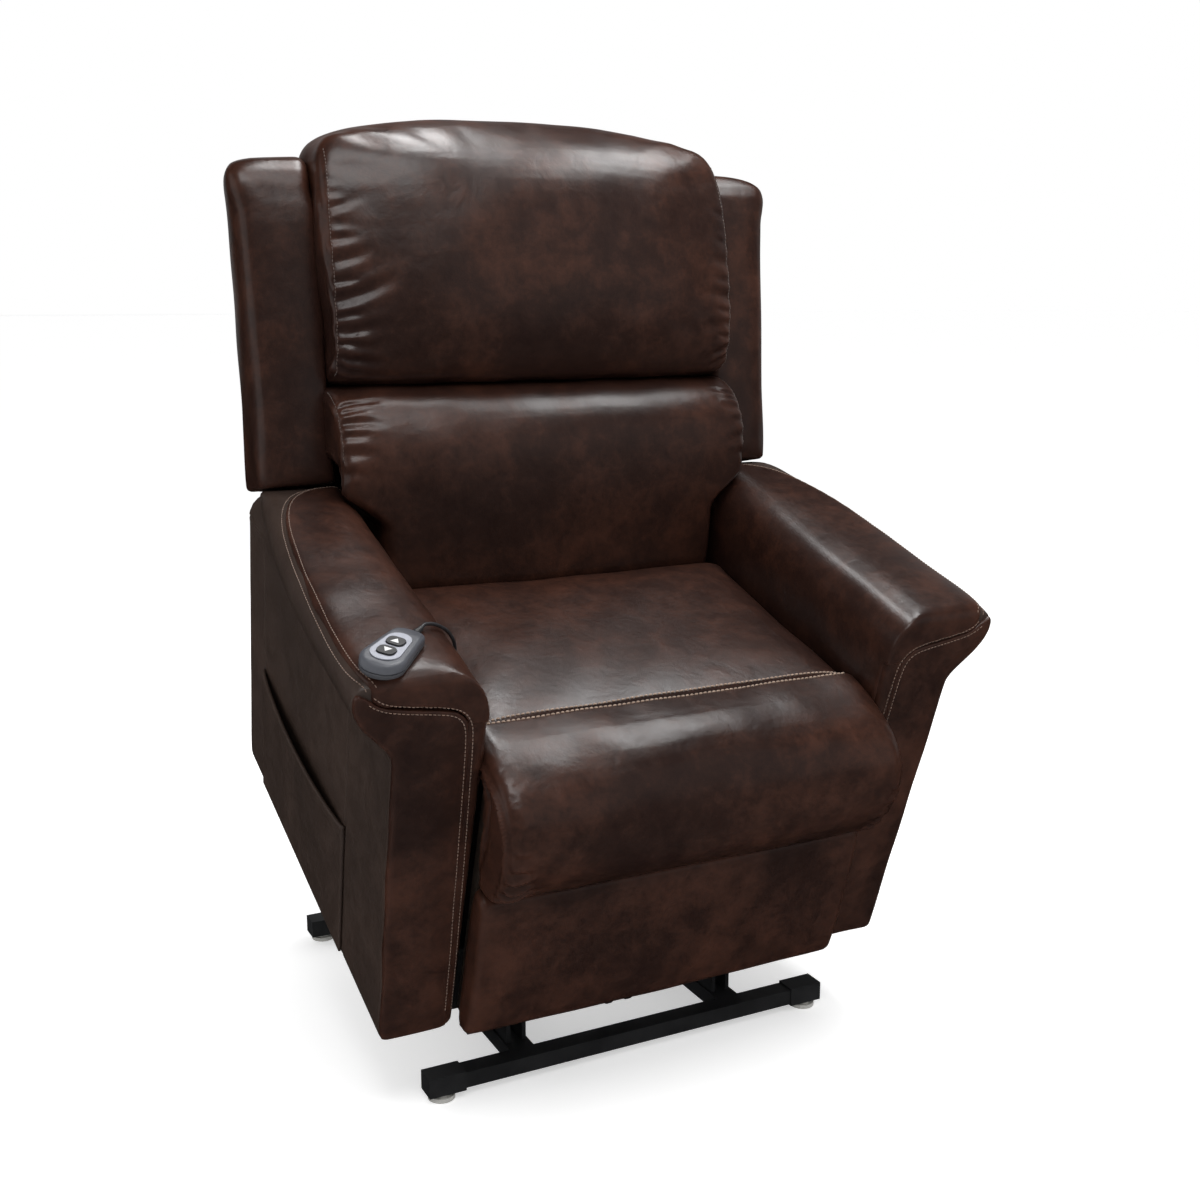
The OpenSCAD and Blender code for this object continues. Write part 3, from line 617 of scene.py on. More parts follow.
def sweep(path, radius, sides=12):
    """Tube mesh along a path; radius is one number or one per point."""
    path = np.asarray(path, float)
    t = np.gradient(path, axis=0)
    t /= np.linalg.norm(t, axis=1, keepdims=True)
    u = np.cross(t[0], [0.31, 0.2, 0.93])
    u /= np.linalg.norm(u)
    rings = []
    r = np.broadcast_to(radius, len(path))
    a = np.arange(sides) * 2 * math.pi / sides
    for i in range(len(path)):
        u = u - t[i] * (u @ t[i])
        u /= np.linalg.norm(u)
        w = np.cross(t[i], u)
        rings.append(path[i] + r[i] * (np.cos(a)[:, None] * u + np.sin(a)[:, None] * w))
    P = np.concatenate(rings)
    k = np.arange(sides)
    F = np.concatenate([np.stack([i * sides + k, i * sides + (k + 1) % sides, (i + 1) * sides + (k + 1) % sides, (i + 1) * sides + k], 1) for i in range(len(path) - 1)])
    # ends closed by shrinking a last ring to almost a point
    for end, flip in ((0, True), (len(path) - 1, False)):
        c = path[end]
        base = len(P)
        P = np.concatenate([P, c + (rings[end] - c) * 0.02])
        q = np.stack([end * sides + k, end * sides + (k + 1) % sides, base + (k + 1) % sides, base + k], 1)
        F = np.concatenate([F, q[:, ::-1] if flip else q])
    return P, F


cord_path = body(catmull(ROUTE, 10))
cP, cF = sweep(cord_path, 0.0023, 12)
cord = mesh_obj("handset_cord_flex", cP, cF)
piece(cord, CORD, "chair", ["handset_cord"])

# ------------------------------------------------------------------ upholstery, chair body
H = 6.0
HP = 4.5


def f_seat(x, y, z):
    yz = poly(soft([(64, 372), (61, 396), (60, 436), (60, 444.5), (61.5, 447.6), (66, 449), (74, 450.6), (94, 453.5), (130, 455), (240, 456), (360, 455), (402, 452), (419, 444), (421, 430), (414, 400), (402, 372)]), y, z)
    xz = poly(soft(mirrored([(286, 370), (288, 408), (286, 426), (274, 441), (238, 450), (140, 455), (20, 456)])), x, z)
    return rint(6, yz, xz)


seat = solid("seat_cushion_cover", f_seat, (-290, 290, 60, 424, 368, 458), H, body, ((), ((64, 7, 1.6),), ()))

ROLL = soft([(59.4, 430), (59.4, 445), (58.4, 448.2), (55, 449.4), (48, 449.6), (18, 446.5), (-16, 438), (-50, 427), (-77, 409), (-96, 385), (-102, 352), (-95, 314), (-78, 279), (-56, 253), (-38, 247), (-3, 247), (-3, 396), (16, 398), (38, 407), (55, 421)])


def f_roll(x, y, z):
    return rint(17, poly(ROLL, y, z), np.abs(x) - 291.5)


roll = solid("footrest_roll_cover", f_roll, (-292, 292, -104, 58, 244, 446), H, body, ((), ((56, 7, 1.6),), ()))


def f_head(x, n, v):
    w = sstep(-70, -170, n)
    nn = n - 26 * np.abs(x / 326.0) ** 3.2 * w
    side = poly(soft([(-196, 352), (-212, 358), (-232, 366), (-248, 381), (-257, 408), (-260, 452), (-254, 556), (-236, 650), (-208, 708), (-172, 741), (-134, 754), (-98, 748), (-70, 724), (-62, 690), (-62, 352)]), nn, v)
    front = poly(soft(mirrored([(322, 352), (326, 384), (328, 560), (326, 664), (319, 697), (300, 715), (240, 732), (150, 745), (60, 753), (8, 754)])), x, v)
    return rint(14, side, front)


head = solid("back_head_cover", f_head, (-330, 330, -266, -60, 350, 756), H, back)


def f_lumbar(x, n, v):
    w = sstep(-70, -170, n)
    nn = n - 20 * np.abs(x / 335.0) ** 3.2 * w
    side = poly(soft([(-196, 357.5), (-222, 352), (-247, 337), (-265, 313), (-276, 282), (-280, 248), (-276, 181), (-260, 96), (-248, 52), (-232, 36), (-62, 36), (-62, 357)]), nn, v)
    # between the arms it is narrower; in front of them it swells over their tops
    low = 272 + 58 * sstep(-150, -236, n) * sstep(150, 214, v) + 0 * v
    half = low + (334 - low) * sstep(226, 262, v)
    front = np.maximum(np.abs(x) - half, 0) - 0 + np.minimum(np.abs(x) - half, 0)
    return rint(14, side, front)


lumbar = solid("back_lumbar_cover", f_lumbar, (-338, 338, -282, -60, 32, 360), H, back)


# ---- cushions under pressure
def smooth_pin(*terms):
    p = np.zeros_like(terms[0])
    for t in terms:
        p = np.maximum(p, t)
    return p


q = unbody(coords(seat))
seat_pin = smooth_pin(1 - sstep(396, 424, q[:, 2]), sstep(412, 420, q[:, 1]), 1 - sstep(64, 78, q[:, 1]), sstep(280, 288, np.abs(q[:, 0])))
r = unbody(coords(roll))
roll_pin = smooth_pin(sstep(-14, -4, r[:, 1]) * (1 - sstep(412, 436, r[:, 2])), sstep(38, 50, r[:, 1]), sstep(284, 291, np.abs(r[:, 0])), 1 - sstep(250, 262, r[:, 2]))
h = unback(coords(head))
head_pin = smooth_pin(sstep(-150, -80, h[:, 1]), (1 - sstep(366, 378, h[:, 2])) * sstep(-238, -212, h[:, 1]), sstep(318, 326, np.abs(h[:, 0])))
l = unback(coords(lumbar))
lum_pin = smooth_pin(sstep(-150, -80, l[:, 1]), sstep(346, 354, l[:, 2]) * sstep(-238, -212, l[:, 1]), 1 - sstep(50, 90, l[:, 2]), sstep(-14, -2, np.abs(l[:, 0]) - np.where(l[:, 2] > 240, 334, 290)))
inflate([(seat, seat_pin, 4.0, 0.022, 18.0, 0.25 * sstep(200, 280, np.abs(q[:, 0]))), (roll, roll_pin, 4.0, 0.022, 18.0, sstep(230, 285, np.abs(r[:, 0]))),
         (head, head_pin, 4.0, 0.024, 18.0, sstep(265, 320, np.abs(h[:, 0])) * (1 - sstep(600, 680, h[:, 2]))), (lumbar, lum_pin, 4.0, 0.024, 18.0, sstep(265, 325, np.abs(l[:, 0])))])
for o in (seat, roll, head, lumbar):
    subdivide(o)


def dress(ob, place, unplace, rows=(), slow=(90, 0.8), seed=1, extra=None):
    P = unplace(coords(ob))
    F = faces4(ob)
    N = normals(P, F)
    d = wave(P, seed, slow[0], slow[1]) + folds(P, N, rows)
    if extra is not None:
        d = d + extra(P, N)
    set_coords(ob, place(P + N * d[:, None]))


# puckers: along the back cushion sides next to the groove, and at the roll ends
side_rows = []
for sx in (-1, 1):
    k = 1.0 if sx < 0 else 0.75
    for v, L, w, a, b, up in ((384, 46, 5, 2.6, 0.10, -0.35), (398, 62, 6, 3.0, 0.12, -0.22), (415, 44, 5, 2.4, -0.05, 0.05), (432, 70, 7, 2.6, 0.10, 0.10), (452, 40, 5, 1.8, 0.0, 0.1),
                             (474, 78, 8, 3.0, 0.14, 0.22), (500, 36, 5, 1.5, 0.0, 0.1), (528, 52, 7, 1.8, 0.1, 0.2), (560, 34, 5, 1.3, 0.0, 0.12), (604, 40, 6, 1.2, 0.0, 0.3)):
        side_rows.append(((sx * 322, -224, v + (4 if sx > 0 else 0)), (-sx * 1.0, -0.10, up), L * k * 1.35, w, a * k * 1.15, b))
dress(head, back, unback, side_rows, (110, 0.9), 3)
lum_rows = []
for sx in (-1, 1):
    k = 1.0 if sx < 0 else 0.7
    for v, L, w, a, b, up in ((342, 52, 5, 2.6, -0.1, 0.3), (326, 40, 5, 2.0, 0.0, 0.2), (306, 58, 6, 2.2, -0.12, 0.05), (286, 36, 5, 1.6, 0.0, 0.0), (262, 44, 6, 1.8, 0.1, -0.1), (238, 30, 5, 1.4, 0.0, -0.15)):
        lum_rows.append(((sx * 330, -250, v), (-sx, -0.08, up), L * k * 1.3, w, a * k * 1.15, b))
dress(lumbar, back, unback, lum_rows, (120, 1.0), 5)
roll_rows = []
for sx in (-1, 1):
    k = 1.0 if sx < 0 else 0.6
    for y, z, L, w, a, b, up in ((-88, 300, 36, 5, 2.8, 0.1, 0.2), (-78, 282, 46, 5, 3.0, 0.12, 0.1), (-64, 264, 54, 6, 3.2, 0.1, 0.1), (-96, 326, 28, 5, 2.0, 0.0, 0.1), (-99, 352, 24, 5, 1.4, 0.0, 0.0)):
        roll_rows.append(((sx * 281, y, z), (-sx, 0.0, up), L * k, w, a * k * 2.0, b))
dress(roll, body, unbody, roll_rows, (110, 0.9), 7)
dress(seat, body, unbody, (), (120, 1.0), 9)
piece(seat, LEATHER, "chair", ["seat_cushion"])
piece(roll, LEATHER, "footrest", ["footrest_roll_pad"])
piece(head, LEATHER, "backrest", ["back_head_cushion"])
piece(lumbar, LEATHER, "backrest", ["back_lumbar_cushion"])

# ---- lower footrest panel
LOWER = soft([(0, 13), (-24, 12), (-37, 17), (-43, 34), (-46, 130), (-43, 226), (-36, 239), (-22, 244), (0, 244)])


def f_lower(x, y, z):
    puff = 3.0 * (1 - np.clip(np.abs(x) / 292.0, 0, 1) ** 4)
    return rint(8, poly(LOWER, y + puff * sstep(0, -30, y), z), np.abs(x) - 291)


lower = solid("footrest_lower_cover", f_lower, (-292, 292, -52, 1, 10, 246), HP + 0.5, body)
dress(lower, body, unbody, (), (130, 0.7), 11)
piece(lower, LEATHER, "footrest", ["footrest_lower_pad"])


def f_bridge(x, y, z):
    return rint(7, poly(soft([(50, -22), (50, -32), (58, -38), (94, -41), (130, -38), (138, -32), (138, -22)], 1), y, z), np.abs(x) - 211)


bridge = solid("footrest_bridge_cover", f_bridge, (-212, 212, 49, 139, -43, -20), HP, link)
piece(bridge, LEATHER, "footrest_swing", ["footrest_bridge_pad"])

# ---- arms, drawn for +x
TONGUE = soft([(270, -12), (424, -12), (441, -1), (451, 20), (455, 60), (455.5, 120), (452, 215), (443, 330), (430, 425), (408, 492), (374, 534), (330, 551), (270, 556)])
ARM = soft([(296, 4), (388, 4), (397, 8), (411, 447), (415, 459), (428, 474), (448, 495), (460, 512), (465, 527), (465, 540), (460, 552), (449, 560), (432, 564), (390, 565), (345, 560), (318, 546), (302, 525), (297, 498), (296, 460)], 2, 10)
ARM_TOP = soft([(-2, -60), (-2, 535), (1, 550), (12, 560.5), (40, 565.5), (100, 567), (330, 566), (470, 562), (532, 556), (575, 541), (612, 522), (645, 504), (672, 490), (686, 472), (688, 440), (688, -60)], 2, 12)
PAD = soft([(297, 384), (293.5, 396), (292.5, 470), (293.5, 502), (299, 527), (311, 546), (329, 559), (354, 565.5), (388, 567.5), (430, 566.5), (450, 562.5), (461, 556), (461, 540), (440, 530), (400, 526), (340, 516), (316, 490), (310, 450), (309, 388)], 2, 12)
PAD_TOP = soft([(-2.5, 340), (-2.5, 534), (-1, 549), (6, 560), (22, 566), (60, 569), (110, 569.5), (330, 568.5), (470, 564.5), (532, 558.5), (556, 551.5), (660, 520), (660, 340)], 2, 12)


def taper(y, z):
    y = np.asarray(y, float)
    t = np.interp(y.ravel(), [0, 160, 260, 370, 507, 560, 610, 700], [0, 0, 2, 11, 28, 38, 48, 51]).reshape(y.shape)
    return t * sstep(449, 505, z)


def slant(x):
    x = np.asarray(x, float)
    return np.interp(x.ravel(), [300, 319, 326, 336, 353, 384, 418, 432, 440, 446, 455, 464], [490, 492, 503, 510.5, 514.5, 519.5, 526, 531, 536.5, 541.5, 547, 551]).reshape(x.shape)


def inner_seam(z):
    z = np.asarray(z, float)
    return np.interp(z.ravel(), [0, 106, 304, 440, 480, 494], [303, 305, 311, 316, 318, 320]).reshape(z.shape)


def f_side(x, y, z):
    e = rint(7, poly(ARM, x + taper(y, z), z), poly(ARM_TOP, y, z))
    lap = np.maximum(poly(TONGUE, x, y) + 8, 496 + 22 * sstep(330, 380, x) - z)
    d = rint(2, e, -lap, 330 - x, 3 - y)
    for s, w in ((170, 2.0), (590, 2.0)):
        g = np.sqrt((y - s) ** 2 + np.maximum(poly(ARM, x, z), -6) ** 2) - w
        d = np.maximum(d, -np.where(z < 452, g, 9.0))
    # seam below the roll end at the rear
    g = np.sqrt((z - 451) ** 2 + np.maximum(poly(ARM, x + taper(y, z), z), -6) ** 2) - 2.0
    return np.maximum(d, -np.where(y > 588, g, 9.0))


def f_pad(x, y, z):
    keep = np.minimum(slant(x) - z, 6 - y)
    d = rint(2.6, poly(PAD, x, z), poly(PAD_TOP, y, z), poly(TONGUE, x, y))
    return rint(1.3, d, keep + 0.1)


def f_front(x, y, z):
    a, e = inner_seam(z) - x, z - slant(x) + 0.1
    puff = 2.6 * sstep(0, -40, np.maximum(np.maximum(poly(ARM, x, z) + 0.8, e), a))
    return rint(1.5, rint(4, poly(ARM, x, z) + 0.8, -2.5 - puff - y), e, a, y - 20)


def f_inner(x, y, z):
    return rint(8, 295.5 - x, x - 324, -1.8 - y, y - 668, 7 - z, z - np.where(y < 30, 504, 470) - 0 * x)


for side, sg in (("left", -1), ("right", 1)):
    mir = sg < 0
    sd = solid("arm_%s_side_cover" % side, f_side, (328, 467, -2, 690, 2, 569), HP, body, ((), ((1, 8, 2.0), (170, 6, 1.5), (590, 6, 1.5)), ((451, 5, 1.5),)), 1, mir)
    pd = solid("arm_%s_top_pad" % side, f_pad, (290, 464, -4, 560, 380, 572), HP - 0.7, body, ((), ((0, 8, 2.0),), ()), 1, mir)
    fr = solid("arm_%s_front_panel" % side, f_front, (300, 468, -9, 22, 2, 568), HP - 0.7, body, ((), ((-4, 6, 2.0),), ()), 1, mir)
    inn = solid("arm_%s_inner_panel" % side, f_inner, (294, 326, -4, 670, 6, 506), HP + 1, body, ((), ((2, 8, 2.5),), ()), 1, mir)
    dress(pd, body, unbody, (), (120, 0.8), 20 + sg)
    dress(fr, body, unbody, (), (140, 0.6), 30 + sg)
    piece(sd, SIDE, "chair", ["arm_%s_outer" % side, "arm_%s_rear" % side])
    piece(pd, LEATHER, "chair", ["arm_%s_top" % side])
    piece(fr, LEATHER, "chair", ["arm_%s_front" % side])
    piece(inn, LEATHER, "chair", ["arm_%s_inner" % side])


# ---- side pocket: a stitched-on panel with an open, slightly gaping mouth
def side_x(z):
    return 396 + 12 * (np.asarray(z, float) - 6) / 442


def pocket_mesh():
    ny, nz = 106, 56
    u = np.linspace(0, 1, ny)[:, None] * np.ones((1, nz))
    w = np.ones((ny, 1)) * np.linspace(0, 1, nz)[None, :]
    y, z = 171 + 418 * u, 15 + 217 * w - 6 * np.sin(math.pi * u) * w ** 3
    gap = 2.0 + 12.5 * np.sin(math.pi * np.clip(u, 0, 1)) ** 0.55 * w ** 1.3
    out = side_x(z) + gap + 2.6 + 0.9 * sstep(0.91, 0.93, w) * (1 - sstep(0.985, 1.0, w))
    inn = side_x(z) + gap - 0.6
    A = np.stack([out, y, z], -1).reshape(-1, 3)
    B = np.stack([inn, y, z], -1).reshape(-1, 3)
    P = np.concatenate([A, B])
    n = ny * nz
    i = np.arange(ny - 1)[:, None] * nz + np.arange(nz - 1)[None, :]
    i = i.ravel()
    Fo = np.stack([i, i + nz, i + nz + 1, i + 1], 1)
    Fi = Fo[:, ::-1] + n
    rim = np.concatenate([np.arange(ny) * nz, (ny - 1) * nz + np.arange(1, nz), (np.arange(ny - 2, -1, -1)) * nz + nz - 1, np.arange(nz - 2, 0, -1)])
    nx = np.roll(rim, -1)
    Fr = np.stack([rim, rim + n, nx + n, nx], 1)
    return P, np.concatenate([Fo, Fi, Fr])


pP, pF = pocket_mesh()
pP = pP * [-1, 1, 1]
pocket = mesh_obj("side_pocket_panel", body(pP), pF[:, ::-1])
piece(pocket, SIDE, "chair", ["side_pocket"])


# ---- rear skirt
def f_skirt(x, y, z):
    puff = 2.5 * (1 - np.clip(np.abs(x) / 300.0, 0, 1) ** 4)
    return rint(5, np.abs(x) - 299.5, 674 - y, y - 687 - puff, 14 - z, z - 251)


skirt = solid("rear_skirt_cover", f_skirt, (-300, 300, 673, 691, 13, 252), HP + 1, body, ((), ((688, 5, 2),), ()))
piece(skirt, SIDE, "chair", ["rear_skirt"])


# ---- back wings
def f_wing(x, n, v):
    side = poly(soft([(-164, 216), (-179, 219), (-185, 236), (-186, 320), (-182, 440), (-174, 600), (-160, 655), (-132, 684), (-86, 691), (-48, 678), (-42, 660), (-42, 214), (-50, 202)], 1, 12), n, v)
    front = poly(soft([(316, 190), (412, 190), (424, 198), (428, 230), (433, 412), (437, 580), (440, 616), (446, 642), (443, 661), (425, 676), (396, 687), (350, 693), (316, 693)], 1, 20), x, v)
    plan = poly(soft([(316, -180), (342, -190), (372, -189), (408, -180), (433, -162), (444, -134), (439, -96), (419, -42), (316, -42)], 2, 20), x - 9 * sstep(600, 640, v) * sstep(-100, -160, n), n)
    d = rint(6 + 12 * sstep(225, 340, v) + 0 * x, side, front, plan)
    return np.maximum(d, -rint(1, 300 - x, x - 401, -62 - n, n + 40, 150 - v, v - 700))


for side, sg in (("left", -1), ("right", 1)):
    wg = solid("back_wing_%s_cover" % side, f_wing, (314, 450, -190, -40, 196, 696), HP, back, ((), (), ()), 1, sg < 0)
    dress(wg, back, unback, (), (130, 0.8), 40 + sg)
    piece(wg, LEATHER, "backrest", ["back_wing_%s" % side])

OUT = soft(mirrored([(392, 226), (406, 232), (412, 250), (414, 410), (416, 590), (409, 630), (382, 656), (300, 692), (120, 714), (10, 718)]), 1)


def f_walls(x, n, v):
    o = poly(OUT, x, v) + (n + 44) * 0.22
    return rint(4, o, -(o + 15), -44.5 - n, n - 1.5, 232 - v)


walls = solid("back_side_wall_cover", f_walls, (-418, 418, -46, 3, 230, 720), HP + 0.5, back)
piece(walls, SIDE, "backrest", ["back_side_walls"])
PANEL = soft(mirrored([(276, 32), (284, 40), (284, 212), (294, 222), (386, 224), (397, 236), (402, 590), (394, 630), (366, 655), (300, 686), (120, 709), (10, 713)]), 1, 12)


def f_outer(x, n, v):
    o = poly(PANEL, x, v)
    return rint(4, o, 0.5 - n, n - 11 - 4.5 * sstep(0, -60, o))


outer = solid("back_outer_cover", f_outer, (-404, 404, -1, 17, 30, 714), HP + 1, back, ((), ((10, 7, 2.0),), ()))
piece(outer, SIDE, "backrest", ["back_outer_panel"])



# ---- near-black sheets between the arms' inner walls and the seat box, behind the footrest: painted shade that closes the gaps
# these sheets are painted shade standing in for the dark of deep gaps, here and in the places below
GAP_SHADE_SHEET = metal_mat("gap_shade_near_black", (0.006, 0.006, 0.006), 0.9, 0.0, 0.3, 1800.0)
for side, sg in (("left", -1), ("right", 1)):
    lin = solid("front_lining_%s" % side, lambda x, y, z: rint(1, 251 - x, x - 297, 61.5 - y, y - 65, 14 - z, z - 370), (250, 298, 60.5, 66.5, 13, 371), HP + 2, body, ((), ((63.2, 4, 1.3),), ()), 0, sg < 0)
    lin.data.materials.append(GAP_SHADE_SHEET)
    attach(lin, "chair")
    # on the back of the footrest board, along its edge
    lf = solid("footrest_lining_%s" % side, lambda x, y, z: rint(1, 262 - x, x - 291, 18.6 - y, y - 21.6, 11.5 - z, z - 120), (261, 292, 17.6, 22.6, 10.5, 121), HP + 2, body, ((), ((20.1, 4, 1.2),), ()), 0, sg < 0)
    lf.data.materials.append(GAP_SHADE_SHEET)
    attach(lf, "footrest")
    # and below the wing, where the back narrows to pass between the arms
    lw = solid("wing_lining_%s" % side, lambda x, n, v: rint(1, 268 - x, x - 412, -66 - n, n + 61, 203 - v, v - 240), (267, 413, -67, -60, 202, 241), HP + 2, back, ((), ((-63.5, 4, 1.3),), ()), 0, sg < 0)
    lw.data.materials.append(GAP_SHADE_SHEET)
    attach(lw, "backrest")
# and under the lumbar cushion, from the seat's rear rail backward
under = solid("seat_rear_gap_shade", lambda x, y, z: rint(1, np.abs(x) - 291, 397 - y, y - 572, np.abs(z - 345 + (y - 397) * 0.166) - 1.8), (-292, 292, 396, 573, 311, 349), 12, body, ((), (), ((330, 18, 1.3),)), 0)
under.data.materials.append(GAP_SHADE_SHEET)
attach(under, "chair")


# ---- handset shells, in the handset's own frame
HS_SIDE = soft([(-58, 0), (-58, 8), (-54, 14.5), (-48, 18.8), (-41, 20), (27, 20), (38, 18.4), (48, 15.2), (58, 10), (58, 0)], 1)


def hs_plan(x, y):
    """Two circles and their common tangents, the wide end away from the cord."""
    h, r1, r2 = 63.0, 27.6, 20.6
    p, q = np.abs(y), x + 28
    b = (r1 - r2) / h
    a = math.sqrt(1 - b * b)
    k = a * q - b * p
    return np.where(k < 0, np.hypot(p, q) - r1, np.where(k > a * h, np.hypot(p, q - h) - r2, a * p + b * q - r1))


def hole(x, y, z, c, d):
    qx, qy = np.maximum(np.abs(x - c) - 2 - d, 0), np.maximum(np.abs(y) - 4 - d, 0)
    return np.maximum(np.sqrt(qx ** 2 + qy ** 2) - 7, 11.6 - z)


def f_upper(x, y, z):
    d = rint(6, hs_plan(x, y), poly(HS_SIDE, x, z))
    d = rint(0.8, d, 8.3 - z)
    return np.maximum(np.maximum(d, -hole(x, y, z, -21, 0.9)), -hole(x, y, z, 3, 0.9))


def f_under(x, y, z):
    return rint(0.8, rint(6, hs_plan(x, y), -0.2 - z), z - 7.7)


hh = 1.15
up_shell = solid("handset_upper_shell_cover", f_upper, (-58, 58, -30, 30, 7, 21), hh, handset)
lo_shell = solid("handset_lower_shell_cover", f_under, (-58, 58, -30, 30, -1, 9), hh, handset)
piece(up_shell, SHELL_GREY, "chair", ["handset_upper_shell"])
piece(lo_shell, SHELL_DARK, "chair", ["handset_lower_shell"])
for c, rider, sg in ((-21, "up_button", -1), (3, "down_button", 1)):
    tri = np.array([(c - 4.2 * sg, 0 - 5.2), (c - 4.2 * sg, 5.2), (c + 4.4 * sg, 0)])
    if sg < 0:
        tri = tri[::-1]
    P3 = np.concatenate([np.c_[tri, np.full(3, 23.15)], np.c_[tri, np.full(3, 23.45)]])
    me = bpy.data.meshes.new("button_mark_" + rider)
    me.from_pydata([tuple(p) for p in handset(P3)], [], [(2, 1, 0), (3, 4, 5), (0, 1, 4, 3), (1, 2, 5, 4), (2, 0, 3, 5)])
    tob = bpy.data.objects.new("button_mark_" + rider, me)
    SCENE.collection.objects.link(tob)
    me.materials.append(WHITE)
    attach(tob, rider)

# ------------------------------------------------------------------ stitching
def tree(*obs):
    V, F, base = [], [], 0
    for o in obs:
        c = coords(o)
        V.append(c)
        F.append(faces4(o) + base)
        base += len(c)
    return BVHTree.FromPolygons([tuple(p) for p in np.concatenate(V)], [tuple(int(i) for i in f) for f in np.concatenate(F)])


def resample(path, step):
    path = np.asarray(path, float)
    s = np.concatenate([[0], np.cumsum(np.linalg.norm(np.diff(path, axis=0), axis=1))])
    t = np.arange(0, s[-1], step)
    return np.stack([np.interp(t, s, path[:, k]) for k in range(path.shape[1])], 1)


def offset2(path, d):
    """A flat path moved sideways by d."""
    t = np.gradient(np.asarray(path, float), axis=0)
    t /= np.maximum(np.linalg.norm(t, axis=1, keepdims=True), 1e-9)
    return path + d * np.stack([-t[:, 1], t[:, 0]], 1)


def drop(bvh, pts, way):
    """Points thrown onto a surface along one direction: position and normal, None where they miss."""
    out = []
    for p in pts:
        loc, nor, _, _ = bvh.ray_cast(Vector(p), Vector(way))
        out.append(None if loc is None else (np.array(loc), np.array(nor)))
    return out


def stitch_row(hits, pitch, fill, rad):
    """Thread segments along surface points; returns mesh arrays."""
    Ps, Fs, base = [], [], 0
    run, runs = [], []
    for hgt in hits:
        if hgt is None or (run and np.linalg.norm(hgt[0] - run[-1][0]) > 0.02):
            if len(run) > 3:
                runs.append(run)
            run = []
        if hgt is not None:
            run.append(hgt)
    if len(run) > 3:
        runs.append(run)
    a = np.arange(6) * math.pi / 3
    for run in runs:
        L = np.array([h[0] for h in run])
        Nn = np.array([h[1] for h in run])
        s = np.concatenate([[0], np.cumsum(np.linalg.norm(np.diff(L, axis=0), axis=1))])
        k = int(s[-1] // pitch)
        for i in range(k):
            t = i * pitch + np.array([0.02, 0.12, 0.5, 0.88, 0.98]) * pitch * fill
            c = np.stack([np.interp(t, s, L[:, d]) for d in range(3)], 1)
            n = np.stack([np.interp(t, s, Nn[:, d]) for d in range(3)], 1)
            n /= np.maximum(np.linalg.norm(n, axis=1, keepdims=True), 1e-9)
            d = c[-1] - c[0]
            if np.linalg.norm(d) < 1e-6:
                continue
            d /= np.linalg.norm(d)
            c = c + n * (np.array([-0.5, 0.35, 0.55, 0.35, -0.5]) * rad)[:, None]
            rr = rad * np.array([0.45, 0.95, 1.0, 0.95, 0.45])
            for j in range(5):
                u = np.cross(d, n[j])
                u /= max(np.linalg.norm(u), 1e-9)
                Ps.append(c[j] + rr[j] * (np.cos(a)[:, None] * u + np.sin(a)[:, None] * n[j]))
            q = np.arange(6)
            for j in range(4):
                Fs.append(np.stack([base + j * 6 + q, base + j * 6 + (q + 1) % 6, base + (j + 1) * 6 + (q + 1) % 6, base + (j + 1) * 6 + q], 1))
            Fs.append(np.array([[base + 3, base + 2, base + 1, base + 0], [base + 5, base + 4, base + 3, base + 0], [base + 24, base + 25, base + 26, base + 27], [base + 24, base + 27, base + 28, base + 29]]))
            base += 30
    if not Ps:
        return None
    return np.concatenate(Ps), np.concatenate(Fs)


def stitching(name, rows, rider, mat=THREAD):
    P, F, base = [], [], 0
    for r in rows:
        if r is None:
            continue
        P.append(r[0])
        F.append(r[1] + base)
        base += len(r[0])
    ob = mesh_obj(name, np.concatenate(P), np.concatenate(F))
    ob.data.materials.append(mat)
    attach(ob, rider)
    return ob


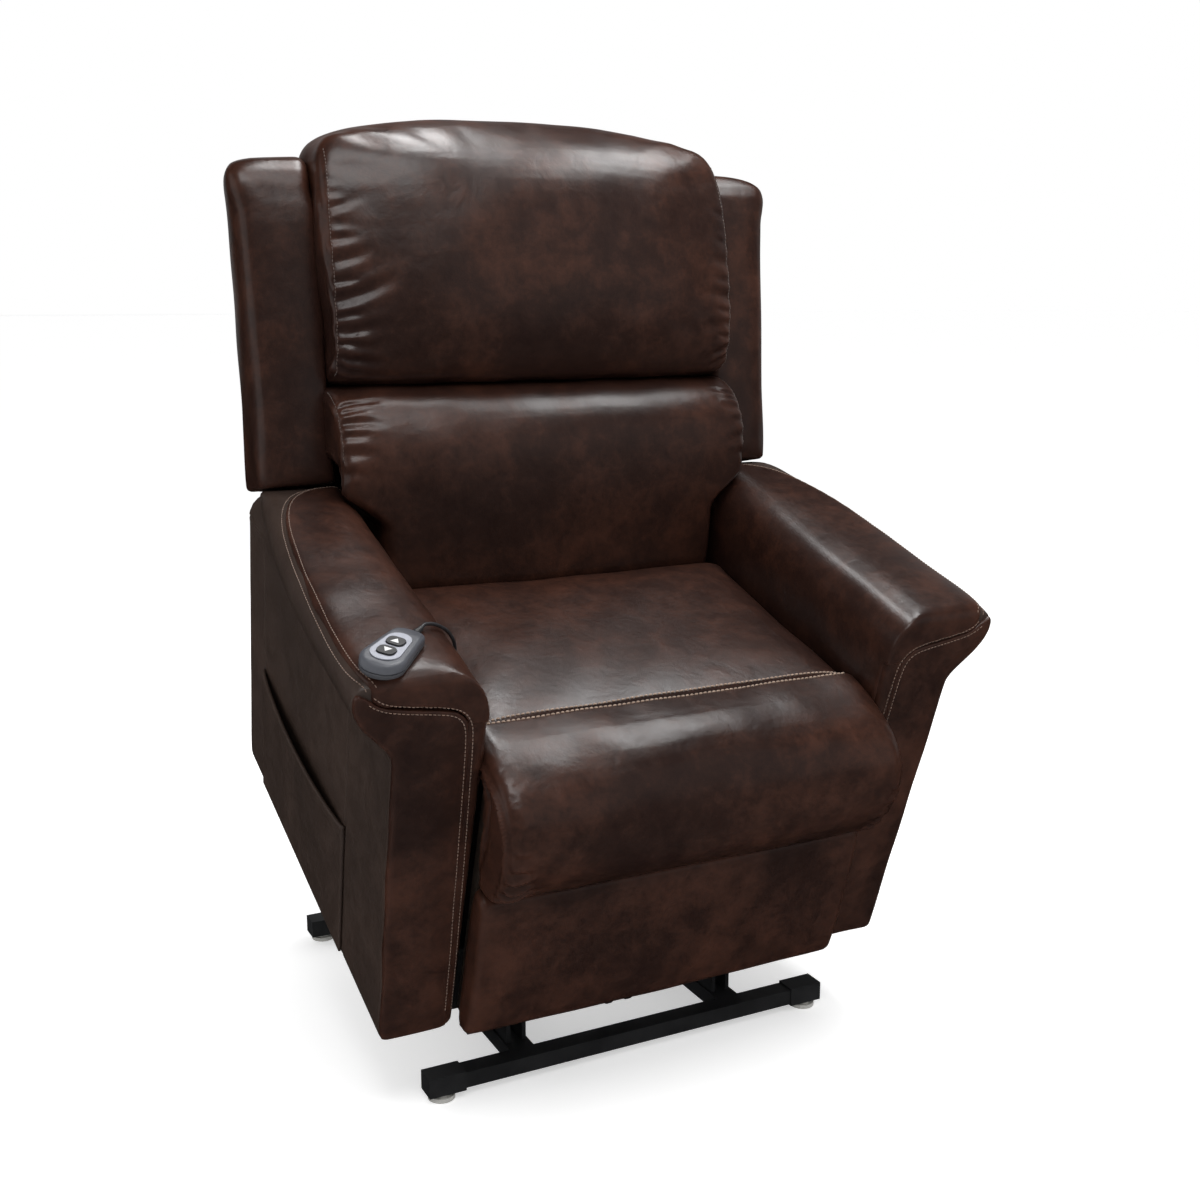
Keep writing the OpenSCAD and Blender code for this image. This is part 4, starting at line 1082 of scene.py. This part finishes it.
O = bpy.data.objects
DOWN = tuple(body([(0, 0, -1)])[0] - body([(0, 0, 0)])[0])
INTO = tuple(body([(0, 1, 0)])[0] - body([(0, 0, 0)])[0])
INTO_BACK = tuple(back([(0, 1, 0)])[0] - back([(0, 0, 0)])[0])
DOWN, INTO, INTO_BACK = (tuple(np.array(d) / np.linalg.norm(d)) for d in (DOWN, INTO, INTO_BACK))
PITCH, FILL, RAD = 0.0056, 0.74, 0.00062
for side, sg in (("left", -1), ("right", 1)):
    bvh = tree(O["arm_%s_side_cover" % side], O["arm_%s_top_pad" % side], O["arm_%s_front_panel" % side], O["arm_%s_inner_panel" % side])
    t = np.asarray(TONGUE)
    keep = t[(t[:, 0] > 302)]
    start = int(np.argmin(keep[:, 1] * 0 + np.abs(keep[:, 1] + 12) + np.abs(keep[:, 0] - 424) * 0.2))
    line = np.roll(keep, -start, 0)
    line = line[np.argsort(np.arctan2(line[:, 1] - 250, line[:, 0] - 300))]
    rows = []
    for off in (4.6, -4.6):
        p = resample(offset2(resample(line, 6), -off), 2.0)
        p = p[p[:, 1] > 3]
        pts = np.stack([sg * p[:, 0], p[:, 1], np.full(len(p), 640.0)], 1)
        rows.append(stitch_row(drop(bvh, body(pts), DOWN), PITCH, FILL, RAD))
    seam = np.array([(443, 540), (439, 535.5), (432, 531), (418, 526), (384, 519.5), (353, 514.5), (336, 510.5), (326, 503), (320, 492), (317.5, 470), (316, 440), (311, 304), (305, 106), (303.5, 26)], float)
    seam = resample(seam, 5)
    for _ in range(6):
        seam[1:-1] = (seam[:-2] + 2 * seam[1:-1] + seam[2:]) / 4
    for off in (4.8, -4.8):
        p = resample(offset2(seam, off), 2.0)
        pts = np.stack([sg * p[:, 0], np.full(len(p), -60.0), p[:, 1]], 1)
        rows.append(stitch_row(drop(bvh, body(pts), INTO), PITCH, FILL, RAD))
    stitching("stitching_arm_%s" % side, rows, "chair")

# seat front edge and roll rear edge, in the paler thread that paints the light falling on these stitches
xs = np.arange(-278, 278, 2.0)
seat_hits = drop(tree(seat), body(np.stack([xs, 66.2 + 0 * xs, 560 + 0 * xs], 1)), DOWN)
stitching("stitching_seat_edge", [stitch_row(seat_hits, 0.0068, 0.80, 0.0014)], "chair", THREAD_TAN_LIT)
roll_hits = drop(tree(roll), body(np.stack([xs, 53.6 + 0 * xs, 560 + 0 * xs], 1)), DOWN)
stitching("stitching_roll_edge", [stitch_row(roll_hits, 0.0068, 0.80, 0.0014)], "footrest", THREAD_TAN_LIT)
# back cushion side edges, one row along each side
rows = []
for ob, v0, v1, xe in ((head, 372, 690, 321.5), (lumbar, 250, 352, 329)):
    bvh = tree(ob)
    for sg in (-1, 1):
        for off in (0,):
            v = np.arange(v0, v1, 2.0)
            x = sg * (xe - off - (0.0 if ob is lumbar else 6 * sstep(560, 700, v)))
            rows.append(stitch_row(drop(bvh, back(np.stack([x + 0 * v, -420 + 0 * v, v], 1)), INTO_BACK), PITCH, FILL, 0.0005))
stitching("stitching_back_sides", rows, "backrest", THREAD_DARK)
